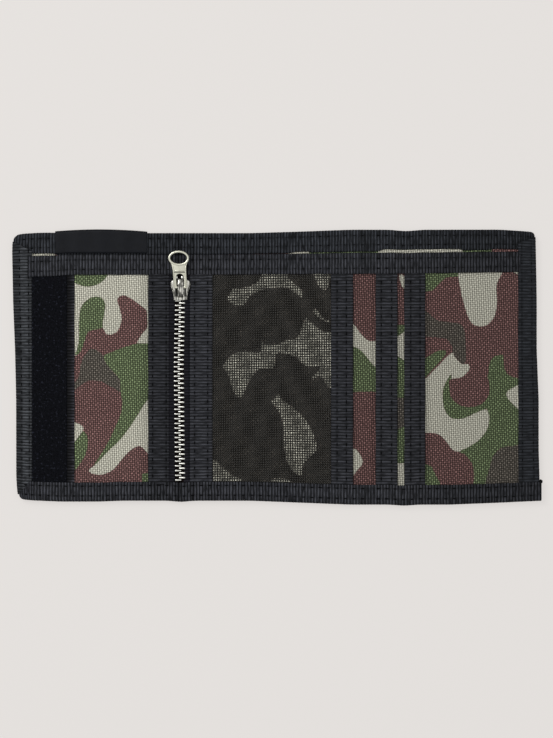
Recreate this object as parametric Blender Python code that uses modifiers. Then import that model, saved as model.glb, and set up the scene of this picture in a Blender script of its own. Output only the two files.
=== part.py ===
# Trifold wallet of camouflage cloth, lying open and flat with its inner side up.
#
# +X runs from the left panel to the right panel, +Y towards the open edge of the
# banknote compartment and +Z out of the inner side. The origin is the middle of
# the wallet's outline, on the surface it lies on.
#
# The wallet folds at two spines. Each spine is a narrow strip between two
# creases, so that a folded panel lies clear above what it folds over. The left
# spine is the wider one: it carries the coin pocket's zip.

import math

import bmesh
import bpy
from mathutils import Matrix

MM = 0.001

# Outline of the open wallet
OPEN_WIDTH = 244.1 * MM
HEIGHT = 125.0 * MM
SPREAD = OPEN_WIDTH / 2
BOTTOM = -HEIGHT / 2
TOP = HEIGHT / 2

# Creases, and the height of the line that each one folds about
LEFT_OUTER_CREASE = -51.7 * MM
LEFT_INNER_CREASE = -38.5 * MM
RIGHT_INNER_CREASE = 42.7 * MM
RIGHT_OUTER_CREASE = 46.3 * MM
CREASE_HEIGHT = 2.5 * MM
CREASE_GAP = 0.15 * MM      # each side of a crease, for layers below its height
CREASE_SETBACK = 1.15 * MM  # each side of a crease, for layers that rise above it

SECTIONS = {
    "left_panel": (-SPREAD, LEFT_OUTER_CREASE),
    "left_spine": (LEFT_OUTER_CREASE, LEFT_INNER_CREASE),
    "middle": (LEFT_INNER_CREASE, RIGHT_INNER_CREASE),
    "right_spine": (RIGHT_INNER_CREASE, RIGHT_OUTER_CREASE),
    "right_panel": (RIGHT_OUTER_CREASE, SPREAD),
}

# Heights of the cloth layers, lower and upper face
SHELL_LAYER = (0.75 * MM, 1.10 * MM)
LINING_LAYER = (1.20 * MM, 1.50 * MM)
BASE_LAYER = (2.05 * MM, 2.50 * MM)
SPINE_BASE_LAYER = (2.00 * MM, 2.15 * MM)  # single and lower, under the zip's slider
POCKET_LAYER = (2.65 * MM, 3.00 * MM)
FRONT_POCKET_LAYER = (3.15 * MM, 3.50 * MM)
FLAT_TAPE_LAYER = (3.15 * MM, 3.50 * MM)
FRONT_TAPE_LAYER = (3.65 * MM, 4.00 * MM)

# Ribbed tape, folded over the edges. Heights are of the middle of each leg.
EDGE_TAPE_THICKNESS = 0.40 * MM
INNER_TAPE_THICKNESS = 0.30 * MM
EDGE_LOWER_LEG = 0.20 * MM
TOP_LOWER_LEG = 0.45 * MM
TOP_UPPER_LEG = 1.80 * MM
LEFT_UPPER_LEG = 2.90 * MM
BOTTOM_UPPER_LEG = 3.35 * MM
RIGHT_UPPER_LEG = 3.85 * MM
INNER_LOWER_LEG = 1.75 * MM
INNER_UPPER_LEG = 3.33 * MM
INNER_RIGHT_UPPER_LEG = 3.83 * MM

LEFT_BINDING_WIDTH = 8.3 * MM
RIGHT_BINDING_WIDTH = 9.5 * MM
RIGHT_BINDING_EDGE = 121.0 * MM
TOP_BINDING_WIDTH = 9.3 * MM
BOTTOM_BINDING_WIDTH = 8.8 * MM
INNER_TAPE_WIDTH = 9.3 * MM
INNER_TAPE_TOP = 51.9 * MM
POCKET_TOP = INNER_TAPE_TOP - INNER_TAPE_WIDTH
POCKET_BOTTOM = BOTTOM + BOTTOM_BINDING_WIDTH
TUCK = 6.0 * MM             # how far a pocket's cloth runs under the tape round it
EDGE_ROOM = 0.7 * MM        # from a binding's outer face to the cloth inside it
PIECE_GAP = 0.3 * MM        # between pieces that lie side by side

# Label tab, folded over the top binding of the left panel
LABEL_LEFT = -102.4 * MM
LABEL_RIGHT = -59.8 * MM
LABEL_THICKNESS = 0.2 * MM
LABEL_LOWER_LEG = 0.1 * MM
LABEL_UPPER_LEG = 2.2 * MM
LABEL_BACK_LENGTH = 12.0 * MM
TOP_BINDING_EDGE = TOP - 0.35 * MM

# Pieces on the left panel
HOOK_STRIP_RIGHT = -94.0 * MM
HOOK_STRIP_LAYER = (2.65 * MM, 3.90 * MM)
COIN_FACE_RIGHT = -54.0 * MM
COIN_TAPE_LEFT = -59.1 * MM

# Pieces on the middle panel
WINDOW_LEFT_TAPE_RIGHT = -29.6 * MM
WINDOW_RIGHT_TAPE = (25.2 * MM, 35.4 * MM)
WINDOW_LEFT = -35.0 * MM
WINDOW_RIGHT = 31.0 * MM

# Pieces on the right panel
BACK_TAPE_RIGHT = 55.9 * MM
FRONT_TAPE = (59.0 * MM, 68.7 * MM)
POCKET_RIGHT = 119.5 * MM

# Loop strip on the outer face of the right panel
LOOP_STRIP_LAYER = (0.05 * MM, 0.60 * MM)
LOOP_STRIP_MARGIN = 2.0 * MM

# Zip
ZIP_CENTRE = -44.9 * MM
TOOTH_PITCH = 2.18 * MM
TOOTH_LENGTH = 1.1 * MM     # along the zip
TOOTH_INNER = 0.6 * MM      # from the zip's middle to a tooth's tip
CHAIN_HALF_WIDTH = 2.45 * MM
BEAD_WIDTH = 0.5 * MM
CHAIN_LAYER = (2.75 * MM, 3.85 * MM)
CHAIN_TOP = 39.0 * MM
CHAIN_BOTTOM = POCKET_BOTTOM + PIECE_GAP
ZIP_TAPE_LAYER = (3.15 * MM, 3.45 * MM)
ZIP_TAPE_INNER = 2.65 * MM
TOP_STOP_SIZE = (1.3 * MM, 1.5 * MM, 1.1 * MM)
TOP_STOP_OFFSET = 1.4 * MM
BOTTOM_STOP_SIZE = (5.0 * MM, 2.0 * MM, 0.3 * MM)

# Slider, from its wide shoulders at the top to its flat lower end
SLIDER_TOP = 40.2 * MM
SLIDER_LENGTH = 9.3 * MM
SLIDER_SHOULDER = 4.5 * MM
SLIDER_FOOT = 3.15 * MM
SLIDER_LAYER = (2.25 * MM, 4.65 * MM)
SLIDER_CHANNEL = (2.6 * MM, 4.05 * MM)
SLIDER_CHANNEL_HALF = 2.85 * MM
SLIDER_SLOT = (3.0 * MM, 3.6 * MM)
SLIDER_POST = (0.6 * MM, 2.6 * MM)  # width and length
ARCH_WIDTH = 2.8 * MM
ARCH_LENGTH = 8.6 * MM
ARCH_POST = 1.1 * MM
ARCH_TOP = 6.55 * MM
ARCH_BAR = 0.4 * MM

# Pull
PIVOT_Y = 36.8 * MM
PIVOT_Z = 5.4 * MM
PULL_THICKNESS = 0.9 * MM
PULL_LENGTH = 17.0 * MM
PULL_BAR = 0.8 * MM
PULL_WINDOW = (3.4 * MM, 5.9 * MM)  # width and length
PULL_NECK = 6.4 * MM
PULL_RING = (9.8 * MM, 7.2 * MM)    # width and length
PULL_HOLE = (7.0 * MM, 4.6 * MM)

COLOURS = {
    "ribbed tape": ((0.018, 0.019, 0.022), 0.8, 0.0),
    "printed cloth": ((0.105, 0.085, 0.055), 0.85, 0.0),
    "window mesh": ((0.022, 0.021, 0.02), 0.75, 0.0),
    "satin": ((0.014, 0.015, 0.017), 0.5, 0.0),
    "hook and loop": ((0.006, 0.007, 0.009), 0.95, 0.0),
    "zip tape": ((0.012, 0.012, 0.014), 0.85, 0.0),
    "nickel": ((0.62, 0.61, 0.57), 0.25, 1.0),
}


def new_collection(name):
    collection = bpy.data.collections.new(name)
    bpy.context.scene.collection.children.link(collection)
    return collection


def make_finish(name, kind):
    """A Principled material for one piece."""
    colour, roughness, metallic = COLOURS[kind]
    finish = bpy.data.materials.new(name + "_finish")
    finish.use_nodes = True
    shader = finish.node_tree.nodes["Principled BSDF"]
    shader.inputs["Base Color"].default_value = (*colour, 1.0)
    shader.inputs["Roughness"].default_value = roughness
    shader.inputs["Metallic"].default_value = metallic
    return finish


def place(obj, kind, parent):
    """Gives a new object its finish, its collection and the empty it hangs on."""
    obj.data.materials.append(make_finish(obj.name, kind))
    for collection in list(obj.users_collection):
        collection.objects.unlink(obj)
    wallet.objects.link(obj)
    obj.parent = parent
    obj.matrix_parent_inverse = Matrix.Translation(axis_of[parent.name]).inverted()
    return obj


def add_pivot(name, location, parent=None):
    """An empty on a joint's axis, in world terms."""
    pivot = bpy.data.objects.new(name, None)
    pivot.empty_display_size = 0.01
    wallet.objects.link(pivot)
    pivot.location = location
    axis_of[name] = location
    if parent:
        pivot.parent = parent
        pivot.matrix_parent_inverse = Matrix.Translation(axis_of[parent.name]).inverted()
    return pivot


def box_object(name, x_range, y_range, z_range):
    bpy.ops.mesh.primitive_cube_add(size=1.0)
    obj = bpy.context.object
    obj.name = name
    obj.data.name = name
    spans = (x_range, y_range, z_range)
    scale = Matrix.Diagonal([high - low for low, high in spans] + [1.0])
    centre = [(low + high) / 2 for low, high in spans]
    obj.data.transform(scale)
    obj.location = centre
    return obj


def cloth_piece(name, x_range, y_range, z_range, kind, parent):
    """A flat piece of cloth or strip, as a plain slab."""
    return place(box_object(name, x_range, y_range, z_range), kind, parent)


def bend_points(edge, direction, low, high, radius, steps=3):
    """The rounded outer bend of a folded tape, from its lower to its upper leg."""
    points = []
    for centre_z, start in ((low + radius, -90), (high - radius, 0)):
        for step in range(steps + 1):
            turn = math.radians(start + 90 * step / steps)
            across = edge - direction * radius * (1 - math.cos(turn))
            points.append((across, centre_z + radius * math.sin(turn)))
    return points


def folded_tape(name, along, span, edge, width, low, high, thickness, kind, parent, back=None):
    """Tape folded over an edge: a U section carried along X or Y, then given its thickness.

    edge is the outer face's place across the tape, and width is signed, from there to
    the end of the upper leg. back is the width of the lower leg where it differs.
    """
    direction = -1 if width > 0 else 1
    mid_edge = edge - direction * thickness / 2
    lower_end = edge + (width if back is None else back)
    radius = min(0.5 * MM, (high - low) / 2.2)
    section = [(lower_end, low)]
    section += bend_points(mid_edge, direction, low, high, radius)
    section += [(edge + width, high)]
    mesh = bpy.data.meshes.new(name)
    shape = bmesh.new()
    start, stop = span
    ring = []
    for across, height in section:
        point = (start, across, height) if along == "X" else (across, start, height)
        ring.append(shape.verts.new(point))
    edges = [shape.edges.new(pair) for pair in zip(ring[:-1], ring[1:])]
    swept = bmesh.ops.extrude_edge_only(shape, edges=edges)["geom"]
    moved = [item for item in swept if isinstance(item, bmesh.types.BMVert)]
    step = (stop - start, 0, 0) if along == "X" else (0, stop - start, 0)
    bmesh.ops.translate(shape, verts=moved, vec=step)
    bmesh.ops.recalc_face_normals(shape, faces=shape.faces[:])
    shape.to_mesh(mesh)
    shape.free()
    obj = bpy.data.objects.new(name, mesh)
    wallet.objects.link(obj)
    wall = obj.modifiers.new("Thickness", "SOLIDIFY")
    wall.thickness = thickness
    wall.offset = 0.0
    wall.use_even_offset = True
    return place(obj, kind, parent)


def flat_outline(name, loops, z_range):
    """A flat piece from closed outlines, holes included, about its own origin."""
    curve = bpy.data.curves.new(name, "CURVE")
    curve.dimensions = "2D"
    curve.fill_mode = "BOTH"
    low, high = z_range
    curve.extrude = (high - low) / 2
    for loop in loops:
        spline = curve.splines.new("POLY")
        spline.points.add(len(loop) - 1)
        for point, (x, y) in zip(spline.points, loop):
            point.co = (x, y, 0.0, 1.0)
        spline.use_cyclic_u = True
    return bpy.data.objects.new(name, curve)


def mesh_from_curve(obj):
    """The same shape as a closed mesh, ready for a Boolean modifier."""
    holder = bpy.context.scene.collection
    holder.objects.link(obj)
    bpy.context.view_layer.update()
    evaluated = obj.evaluated_get(bpy.context.evaluated_depsgraph_get())
    mesh = bpy.data.meshes.new_from_object(evaluated)
    shape = bmesh.new()
    shape.from_mesh(mesh)
    bmesh.ops.remove_doubles(shape, verts=shape.verts[:], dist=0.00001)
    bmesh.ops.recalc_face_normals(shape, faces=shape.faces[:])
    shape.to_mesh(mesh)
    shape.free()
    solid = bpy.data.objects.new(obj.name + "_solid", mesh)
    solid.matrix_world = obj.matrix_world
    bpy.data.objects.remove(obj)
    return solid


def cut_or_join(obj, other, operation):
    """Adds a Boolean with a hidden helper, kept in the helpers' own collection."""
    for collection in list(other.users_collection):
        collection.objects.unlink(other)
    helpers.objects.link(other)
    other.hide_render = True
    other.display_type = "WIRE"
    change = obj.modifiers.new(operation.title(), "BOOLEAN")
    change.operation = operation
    change.object = other


def arc(centre, radii, start, stop, steps):
    """Points on part of an ellipse, angles in degrees."""
    points = []
    for step in range(steps + 1):
        turn = math.radians(start + (stop - start) * step / steps)
        points.append((centre[0] + radii[0] * math.cos(turn), centre[1] + radii[1] * math.sin(turn)))
    return points


def section_range(section, clear, left_end=None, right_end=None):
    """A section's X range, clear of its creases, or up to an end of its own."""
    low, high = SECTIONS[section]
    low = low + clear if left_end is None else left_end
    high = high - clear if right_end is None else right_end
    return low, high


def build_layers():
    """Shell, lining and pocket base: one cloth layer each, parted at the creases."""
    left_end = -SPREAD + EDGE_ROOM
    right_end = RIGHT_BINDING_EDGE - EDGE_ROOM
    outer_y = (BOTTOM + EDGE_ROOM, TOP_BINDING_EDGE - EDGE_ROOM)
    inner_y = (BOTTOM + EDGE_ROOM, INNER_TAPE_TOP - EDGE_ROOM)
    for section, pivot in pivots.items():
        x_range = section_range(
            section,
            CREASE_GAP,
            left_end if section == "left_panel" else None,
            right_end if section == "right_panel" else None,
        )
        base = SPINE_BASE_LAYER if section == "left_spine" else BASE_LAYER
        cloth_piece("shell_" + section, x_range, outer_y, SHELL_LAYER, "printed cloth", pivot)
        cloth_piece("lining_" + section, x_range, outer_y, LINING_LAYER, "printed cloth", pivot)
        cloth_piece("pocket_base_" + section, x_range, inner_y, base, "printed cloth", pivot)


def build_bindings():
    """Ribbed tape round the edges: five lengths along the top, bottom and pocket edges."""
    left_end = -SPREAD + LEFT_BINDING_WIDTH + PIECE_GAP
    right_end = RIGHT_BINDING_EDGE - RIGHT_BINDING_WIDTH - PIECE_GAP
    for section, pivot in pivots.items():
        left = left_end if section == "left_panel" else None
        right = right_end if section == "right_panel" else None
        on_right = section == "right_panel"
        folded_tape(
            "top_binding_" + section, "X", section_range(section, CREASE_GAP, left, right),
            TOP_BINDING_EDGE, -TOP_BINDING_WIDTH, TOP_LOWER_LEG, TOP_UPPER_LEG,
            INNER_TAPE_THICKNESS, "ribbed tape", pivot,
        )
        folded_tape(
            "pocket_tape_" + section, "X", section_range(section, CREASE_SETBACK, left, right),
            INNER_TAPE_TOP, -INNER_TAPE_WIDTH, INNER_LOWER_LEG,
            INNER_RIGHT_UPPER_LEG if on_right else INNER_UPPER_LEG,
            INNER_TAPE_THICKNESS, "ribbed tape", pivot,
        )
        folded_tape(
            "bottom_binding_" + section, "X",
            section_range(section, CREASE_SETBACK, left, SPREAD if on_right else None),
            BOTTOM, BOTTOM_BINDING_WIDTH, EDGE_LOWER_LEG,
            RIGHT_UPPER_LEG if on_right else BOTTOM_UPPER_LEG,
            EDGE_TAPE_THICKNESS, "ribbed tape", pivot,
        )
    folded_tape(
        "left_binding", "Y", (BOTTOM, TOP_BINDING_EDGE), -SPREAD, LEFT_BINDING_WIDTH,
        EDGE_LOWER_LEG, LEFT_UPPER_LEG, EDGE_TAPE_THICKNESS, "ribbed tape", pivots["left_panel"],
    )
    folded_tape(
        "right_binding", "Y", (POCKET_BOTTOM + PIECE_GAP, TOP_BINDING_EDGE), RIGHT_BINDING_EDGE,
        -RIGHT_BINDING_WIDTH, EDGE_LOWER_LEG, RIGHT_UPPER_LEG, EDGE_TAPE_THICKNESS,
        "ribbed tape", pivots["right_panel"],
    )
    folded_tape(
        "label_tab", "X", (LABEL_LEFT, LABEL_RIGHT), TOP, TOP_BINDING_EDGE - TOP - TOP_BINDING_WIDTH,
        LABEL_LOWER_LEG, LABEL_UPPER_LEG, LABEL_THICKNESS, "satin", pivots["left_panel"],
        back=-LABEL_BACK_LENGTH,
    )


def build_left_panel():
    """Hook strip and the coin pocket's face, with the tape down its zip side."""
    pivot = pivots["left_panel"]
    tucked = (POCKET_BOTTOM - TUCK, POCKET_TOP + TUCK)
    open_y = (POCKET_BOTTOM + PIECE_GAP, POCKET_TOP - PIECE_GAP)
    hook_left = -SPREAD + LEFT_BINDING_WIDTH + PIECE_GAP
    cloth_piece(
        "hook_strip", (hook_left, HOOK_STRIP_RIGHT), open_y, HOOK_STRIP_LAYER, "hook and loop", pivot
    )
    cloth_piece(
        "coin_pocket_face", (HOOK_STRIP_RIGHT + PIECE_GAP, COIN_FACE_RIGHT), tucked, POCKET_LAYER,
        "printed cloth", pivot,
    )
    cloth_piece(
        "coin_pocket_tape", (COIN_TAPE_LEFT, LEFT_OUTER_CREASE - CREASE_SETBACK), open_y,
        FLAT_TAPE_LAYER, "ribbed tape", pivot,
    )


def build_middle_panel():
    """Mesh window and the tapes down its two sides."""
    pivot = pivots["middle"]
    tucked = (POCKET_BOTTOM - TUCK, POCKET_TOP + TUCK)
    open_y = (POCKET_BOTTOM + PIECE_GAP, POCKET_TOP - PIECE_GAP)
    cloth_piece("window_mesh", (WINDOW_LEFT, WINDOW_RIGHT), tucked, POCKET_LAYER, "window mesh", pivot)
    cloth_piece(
        "window_left_tape", (LEFT_INNER_CREASE + CREASE_SETBACK, WINDOW_LEFT_TAPE_RIGHT), open_y,
        FLAT_TAPE_LAYER, "ribbed tape", pivot,
    )
    cloth_piece("window_right_tape", WINDOW_RIGHT_TAPE, open_y, FLAT_TAPE_LAYER, "ribbed tape", pivot)


def build_right_panel():
    """Two overlapping card pockets that open towards the middle, and the loop strip."""
    pivot = pivots["right_panel"]
    tucked = (POCKET_BOTTOM - TUCK, POCKET_TOP + TUCK)
    open_y = (POCKET_BOTTOM + PIECE_GAP, POCKET_TOP - PIECE_GAP)
    back_left = RIGHT_OUTER_CREASE + CREASE_SETBACK
    cloth_piece(
        "back_card_pocket", (back_left + PIECE_GAP, POCKET_RIGHT), tucked, POCKET_LAYER,
        "printed cloth", pivot,
    )
    cloth_piece(
        "back_pocket_tape", (back_left, BACK_TAPE_RIGHT), open_y, FLAT_TAPE_LAYER, "ribbed tape", pivot
    )
    cloth_piece(
        "front_card_pocket", (FRONT_TAPE[0] + PIECE_GAP, POCKET_RIGHT), tucked, FRONT_POCKET_LAYER,
        "printed cloth", pivot,
    )
    right_edge = min(FRONT_TAPE[1], POCKET_RIGHT)
    cloth_piece(
        "front_pocket_tape", (FRONT_TAPE[0], right_edge), open_y, FRONT_TAPE_LAYER, "ribbed tape", pivot
    )
    # The strip lies where the hook strip lands on the folded right panel.
    hook_span = (HOOK_STRIP_RIGHT, -SPREAD + LEFT_BINDING_WIDTH)
    landed = [LEFT_INNER_CREASE + LEFT_OUTER_CREASE - place_x for place_x in hook_span]
    strip = [RIGHT_OUTER_CREASE + RIGHT_INNER_CREASE - place_x for place_x in landed]
    loop_x = (min(strip) - LOOP_STRIP_MARGIN, max(strip) + LOOP_STRIP_MARGIN)
    cloth_piece("loop_strip", loop_x, open_y, LOOP_STRIP_LAYER, "hook and loop", pivot)


def comb_outline(side, count):
    """One side of the zip: a straight bead with a tooth every pitch, as one outline."""
    outer = side * CHAIN_HALF_WIDTH
    bead = side * (CHAIN_HALF_WIDTH - BEAD_WIDTH)
    tip = side * TOOTH_INNER
    points = [(outer, CHAIN_TOP), (outer, CHAIN_BOTTOM)]
    offset = TOOTH_PITCH / 2 if side > 0 else 0.0
    first = CHAIN_BOTTOM + offset + PIECE_GAP
    for index in range(count):
        low = first + index * TOOTH_PITCH
        points += [(bead, low), (tip, low), (tip, low + TOOTH_LENGTH), (bead, low + TOOTH_LENGTH)]
    points.append((bead, CHAIN_TOP))
    points.insert(2, (bead, CHAIN_BOTTOM))
    return points


def build_zip():
    """Zip tapes, the two rows of teeth and the stops, on the left spine."""
    pivot = pivots["left_spine"]
    spine_left, spine_right = section_range("left_spine", CREASE_SETBACK)
    tape_y = (POCKET_BOTTOM + PIECE_GAP, POCKET_TOP - PIECE_GAP)
    cloth_piece(
        "zip_tape_left", (spine_left, ZIP_CENTRE - ZIP_TAPE_INNER), tape_y, ZIP_TAPE_LAYER,
        "zip tape", pivot,
    )
    cloth_piece(
        "zip_tape_right", (ZIP_CENTRE + ZIP_TAPE_INNER, spine_right), tape_y, ZIP_TAPE_LAYER,
        "zip tape", pivot,
    )
    count = int((CHAIN_TOP - CHAIN_BOTTOM) / TOOTH_PITCH)
    low, high = CHAIN_LAYER
    for side, name in ((-1, "zip_teeth_left"), (1, "zip_teeth_right")):
        comb = flat_outline(name, [comb_outline(side, count)], CHAIN_LAYER)
        comb.location = (ZIP_CENTRE, 0.0, (low + high) / 2)
        place(comb, "nickel", pivot)
        stop = centred_box(
            name.replace("teeth", "top_stop"),
            (ZIP_CENTRE + side * TOP_STOP_OFFSET, CHAIN_TOP + 2.4 * MM, (low + high) / 2),
            TOP_STOP_SIZE,
        )
        place(stop, "nickel", pivot)
    stop_y = CHAIN_BOTTOM - PIECE_GAP - BOTTOM_STOP_SIZE[1]
    stop_z = sum(POCKET_LAYER) / 2
    stop = centred_box("zip_bottom_stop", (ZIP_CENTRE, stop_y, stop_z), BOTTOM_STOP_SIZE)
    place(stop, "nickel", pivot)


def centred_box(name, centre, size):
    ranges = [(middle - side / 2, middle + side / 2) for middle, side in zip(centre, size)]
    return box_object(name, *ranges)


def slider_outline():
    """Wide rounded shoulders at the top, drawn in to a narrower flat foot."""
    shoulder = SLIDER_SHOULDER
    top = SLIDER_TOP
    foot = SLIDER_TOP - SLIDER_LENGTH
    right = arc((shoulder - 1.6 * MM, top - 1.6 * MM), (1.6 * MM, 1.6 * MM), 90, 0, 4)
    right += [(shoulder, top - 3.4 * MM), (SLIDER_FOOT + 0.2 * MM, top - 6.4 * MM), (SLIDER_FOOT, foot)]
    left = [(-x, y) for x, y in reversed(right)]
    return right + left


def build_slider():
    """Slider: two plates round the teeth, joined by a post, with an arch for the pull."""
    body = mesh_from_curve(flat_outline("zip_slider_blank", [slider_outline()], SLIDER_LAYER))
    low, high = SLIDER_LAYER
    body.name = "zip_slider"
    body.location = (ZIP_CENTRE, 0.0, (low + high) / 2)
    long_y = (SLIDER_TOP - 2 * SLIDER_LENGTH, SLIDER_TOP + SLIDER_LENGTH)
    half = SLIDER_CHANNEL_HALF
    channel = box_object("channel_cutter", (ZIP_CENTRE - half, ZIP_CENTRE + half), long_y, SLIDER_CHANNEL)
    cut_or_join(body, channel, "DIFFERENCE")
    wide = 2 * SLIDER_SHOULDER
    slot = box_object("tape_slot_cutter", (ZIP_CENTRE - wide, ZIP_CENTRE + wide), long_y, SLIDER_SLOT)
    cut_or_join(body, slot, "DIFFERENCE")
    overlap = 0.1 * MM
    post_width, post_length = SLIDER_POST
    post = box_object(
        "slider_post",
        (ZIP_CENTRE - post_width / 2, ZIP_CENTRE + post_width / 2),
        (SLIDER_TOP - post_length - 0.4 * MM, SLIDER_TOP - 0.4 * MM),
        (SLIDER_CHANNEL[0] - overlap, SLIDER_CHANNEL[1] + overlap),
    )
    cut_or_join(body, post, "UNION")
    arch_x = (ZIP_CENTRE - ARCH_WIDTH / 2, ZIP_CENTRE + ARCH_WIDTH / 2)
    arch_top = PIVOT_Y + ARCH_LENGTH / 2 - 0.5 * MM
    arch_foot = arch_top - ARCH_LENGTH
    arch = box_object("slider_arch", arch_x, (arch_foot, arch_top), (high - overlap, ARCH_TOP))
    cut_or_join(body, arch, "UNION")
    opening = box_object(
        "arch_opening_cutter",
        (arch_x[0] - 1 * MM, arch_x[1] + 1 * MM),
        (arch_foot + ARCH_POST, arch_top - ARCH_POST),
        (high, ARCH_TOP - ARCH_BAR),
    )
    cut_or_join(body, opening, "DIFFERENCE")
    place(body, "nickel", slider_pivot)


def pull_loops():
    """Outline of the pull about its pivot: window and bar, plate, neck and oval ring."""
    neck = PULL_NECK / 2
    ring_half, ring_rise = PULL_RING[0] / 2, PULL_RING[1] / 2
    ring_centre = PULL_LENGTH - ring_rise
    window_half = PULL_WINDOW[0] / 2
    window_top = PULL_BAR / 2 + PULL_WINDOW[1]
    outer = [(neck - 0.3 * MM, -PULL_BAR / 2), (neck, PULL_BAR), (neck - 0.2 * MM, window_top + 1.2 * MM)]
    outer += arc((0.0, ring_centre), (ring_half, ring_rise), -38, 218, 16)
    outer += [(-neck + 0.2 * MM, window_top + 1.2 * MM), (-neck, PULL_BAR), (-neck + 0.3 * MM, -PULL_BAR / 2)]
    window = [
        (window_half, PULL_BAR / 2),
        (window_half, window_top),
        (-window_half, window_top),
        (-window_half, PULL_BAR / 2),
    ]
    hole = arc((0.0, ring_centre + 0.3 * MM), (PULL_HOLE[0] / 2, PULL_HOLE[1] / 2), 0, 337.5, 15)
    return [outer, window, hole]


def build_pull():
    """Pull, with its origin on the bar that it swings about."""
    layer = (-PULL_THICKNESS / 2, PULL_THICKNESS / 2)
    pull = flat_outline("zip_pull", pull_loops(), layer)
    pull.location = (ZIP_CENTRE, PIVOT_Y, PIVOT_Z)
    place(pull, "nickel", pull_pivot)


for old in list(bpy.data.objects):
    bpy.data.objects.remove(old)

wallet = new_collection("trifold_wallet")
helpers = new_collection("helpers")
axis_of = {}

middle_pivot = add_pivot("middle_pivot", (0.0, 0.0, 0.0))
left_spine_pivot = add_pivot("left_spine_pivot", (LEFT_INNER_CREASE, 0.0, CREASE_HEIGHT), middle_pivot)
left_panel_pivot = add_pivot("left_panel_pivot", (LEFT_OUTER_CREASE, 0.0, CREASE_HEIGHT), left_spine_pivot)
right_spine_pivot = add_pivot("right_spine_pivot", (RIGHT_INNER_CREASE, 0.0, CREASE_HEIGHT), middle_pivot)
right_panel_pivot = add_pivot("right_panel_pivot", (RIGHT_OUTER_CREASE, 0.0, CREASE_HEIGHT), right_spine_pivot)
slider_pivot = add_pivot("zip_slider_pivot", (ZIP_CENTRE, SLIDER_TOP, SLIDER_LAYER[1]), left_spine_pivot)
pull_pivot = add_pivot("zip_pull_pivot", (ZIP_CENTRE, PIVOT_Y, PIVOT_Z), slider_pivot)

pivots = {
    "left_panel": left_panel_pivot,
    "left_spine": left_spine_pivot,
    "middle": middle_pivot,
    "right_spine": right_spine_pivot,
    "right_panel": right_panel_pivot,
}

build_layers()
build_bindings()
build_left_panel()
build_middle_panel()
build_right_panel()
build_zip()
build_slider()
build_pull()
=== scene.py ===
from math import radians

import bmesh
import bpy
import numpy as np
from mathutils import Matrix, Vector


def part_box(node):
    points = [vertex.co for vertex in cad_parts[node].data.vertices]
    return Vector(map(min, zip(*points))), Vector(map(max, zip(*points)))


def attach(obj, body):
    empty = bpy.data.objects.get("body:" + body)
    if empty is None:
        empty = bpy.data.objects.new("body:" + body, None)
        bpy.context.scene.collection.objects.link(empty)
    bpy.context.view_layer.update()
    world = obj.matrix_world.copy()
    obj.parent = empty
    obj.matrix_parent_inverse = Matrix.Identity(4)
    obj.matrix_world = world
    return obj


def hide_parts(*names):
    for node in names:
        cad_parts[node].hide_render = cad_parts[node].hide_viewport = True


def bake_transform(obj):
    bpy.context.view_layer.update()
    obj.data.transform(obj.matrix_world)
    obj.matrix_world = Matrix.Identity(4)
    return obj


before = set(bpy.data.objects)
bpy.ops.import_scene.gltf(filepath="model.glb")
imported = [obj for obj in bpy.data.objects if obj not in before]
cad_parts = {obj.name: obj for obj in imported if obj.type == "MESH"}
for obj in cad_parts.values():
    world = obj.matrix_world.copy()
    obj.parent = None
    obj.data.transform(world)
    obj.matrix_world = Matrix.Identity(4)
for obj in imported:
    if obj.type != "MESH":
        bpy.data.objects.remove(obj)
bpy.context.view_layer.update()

# Looks of an open trifold wallet: printed cloth, ribbed tape, a mesh window and a metal zip.
# Lengths below are in millimetres and turn to metres where a mesh is made.
mm = 0.001
chance = np.random.default_rng(7)


class Wire:
    # one output socket of a node tree; sums and products on wires add Math nodes
    def __init__(self, tree, socket=None):
        self.tree = tree
        self.socket = socket

    def add(self, kind, settings=None, sockets=None, out=0):
        node = self.tree.nodes.new(kind)
        for key, value in (settings or {}).items():
            setattr(node, key, value)
        for key, value in (sockets or {}).items():
            plug(node.inputs[key], value)
        return Wire(self.tree, node.outputs[out])

    def calc(self, operation, *values):
        return self.add("ShaderNodeMath", {"operation": operation}, dict(enumerate(values)))

    def __add__(self, other):
        return self.calc("ADD", self, other)

    def __sub__(self, other):
        return self.calc("SUBTRACT", self, other)

    def __rsub__(self, other):
        return self.calc("SUBTRACT", other, self)

    def __mul__(self, other):
        return self.calc("MULTIPLY", self, other)

    def __pow__(self, other):
        return self.calc("POWER", self, other)

    __radd__ = __add__
    __rmul__ = __mul__


def plug(socket, value):
    if isinstance(value, Wire):
        value.tree.links.new(value.socket, socket)
    else:
        socket.default_value = value


def cosine(wire):
    return wire.calc("COSINE", wire)


def easeStep(wire, low, high):
    # 0 below low, 1 above high, eased between
    return wire.add("ShaderNodeMapRange", {"interpolation_type": "SMOOTHSTEP"},
                    {0: wire, 1: low, 2: high, 3: 0.0, 4: 1.0})


def mixColour(factor, first, second):
    return factor.add("ShaderNodeMix", {"data_type": "RGBA"}, {0: factor, 6: first, 7: second}, out=2)


def scaleColour(colour, amount):
    # a colour times a number, through Vector Math so that it stays a colour
    first = colour if isinstance(colour, Wire) else colour[:3]
    return amount.add("ShaderNodeVectorMath", {"operation": "SCALE"}, {0: first, "Scale": amount})


def readMark(tree, name, out=2):
    return tree.add("ShaderNodeAttribute", {"attribute_name": name}, out=out)


def axis(vector, number):
    return vector.add("ShaderNodeSeparateXYZ", sockets={0: vector}, out=number)


def splitPlace(tree):
    place = readMark(tree, "place", out=1)
    return place, axis(place, 0), axis(place, 1)


def noiseAt(vector, scale, detail=2.0):
    return vector.add("ShaderNodeTexNoise", {"noise_dimensions": "3D"},
                      {"Vector": vector, "Scale": scale, "Detail": detail})


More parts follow.
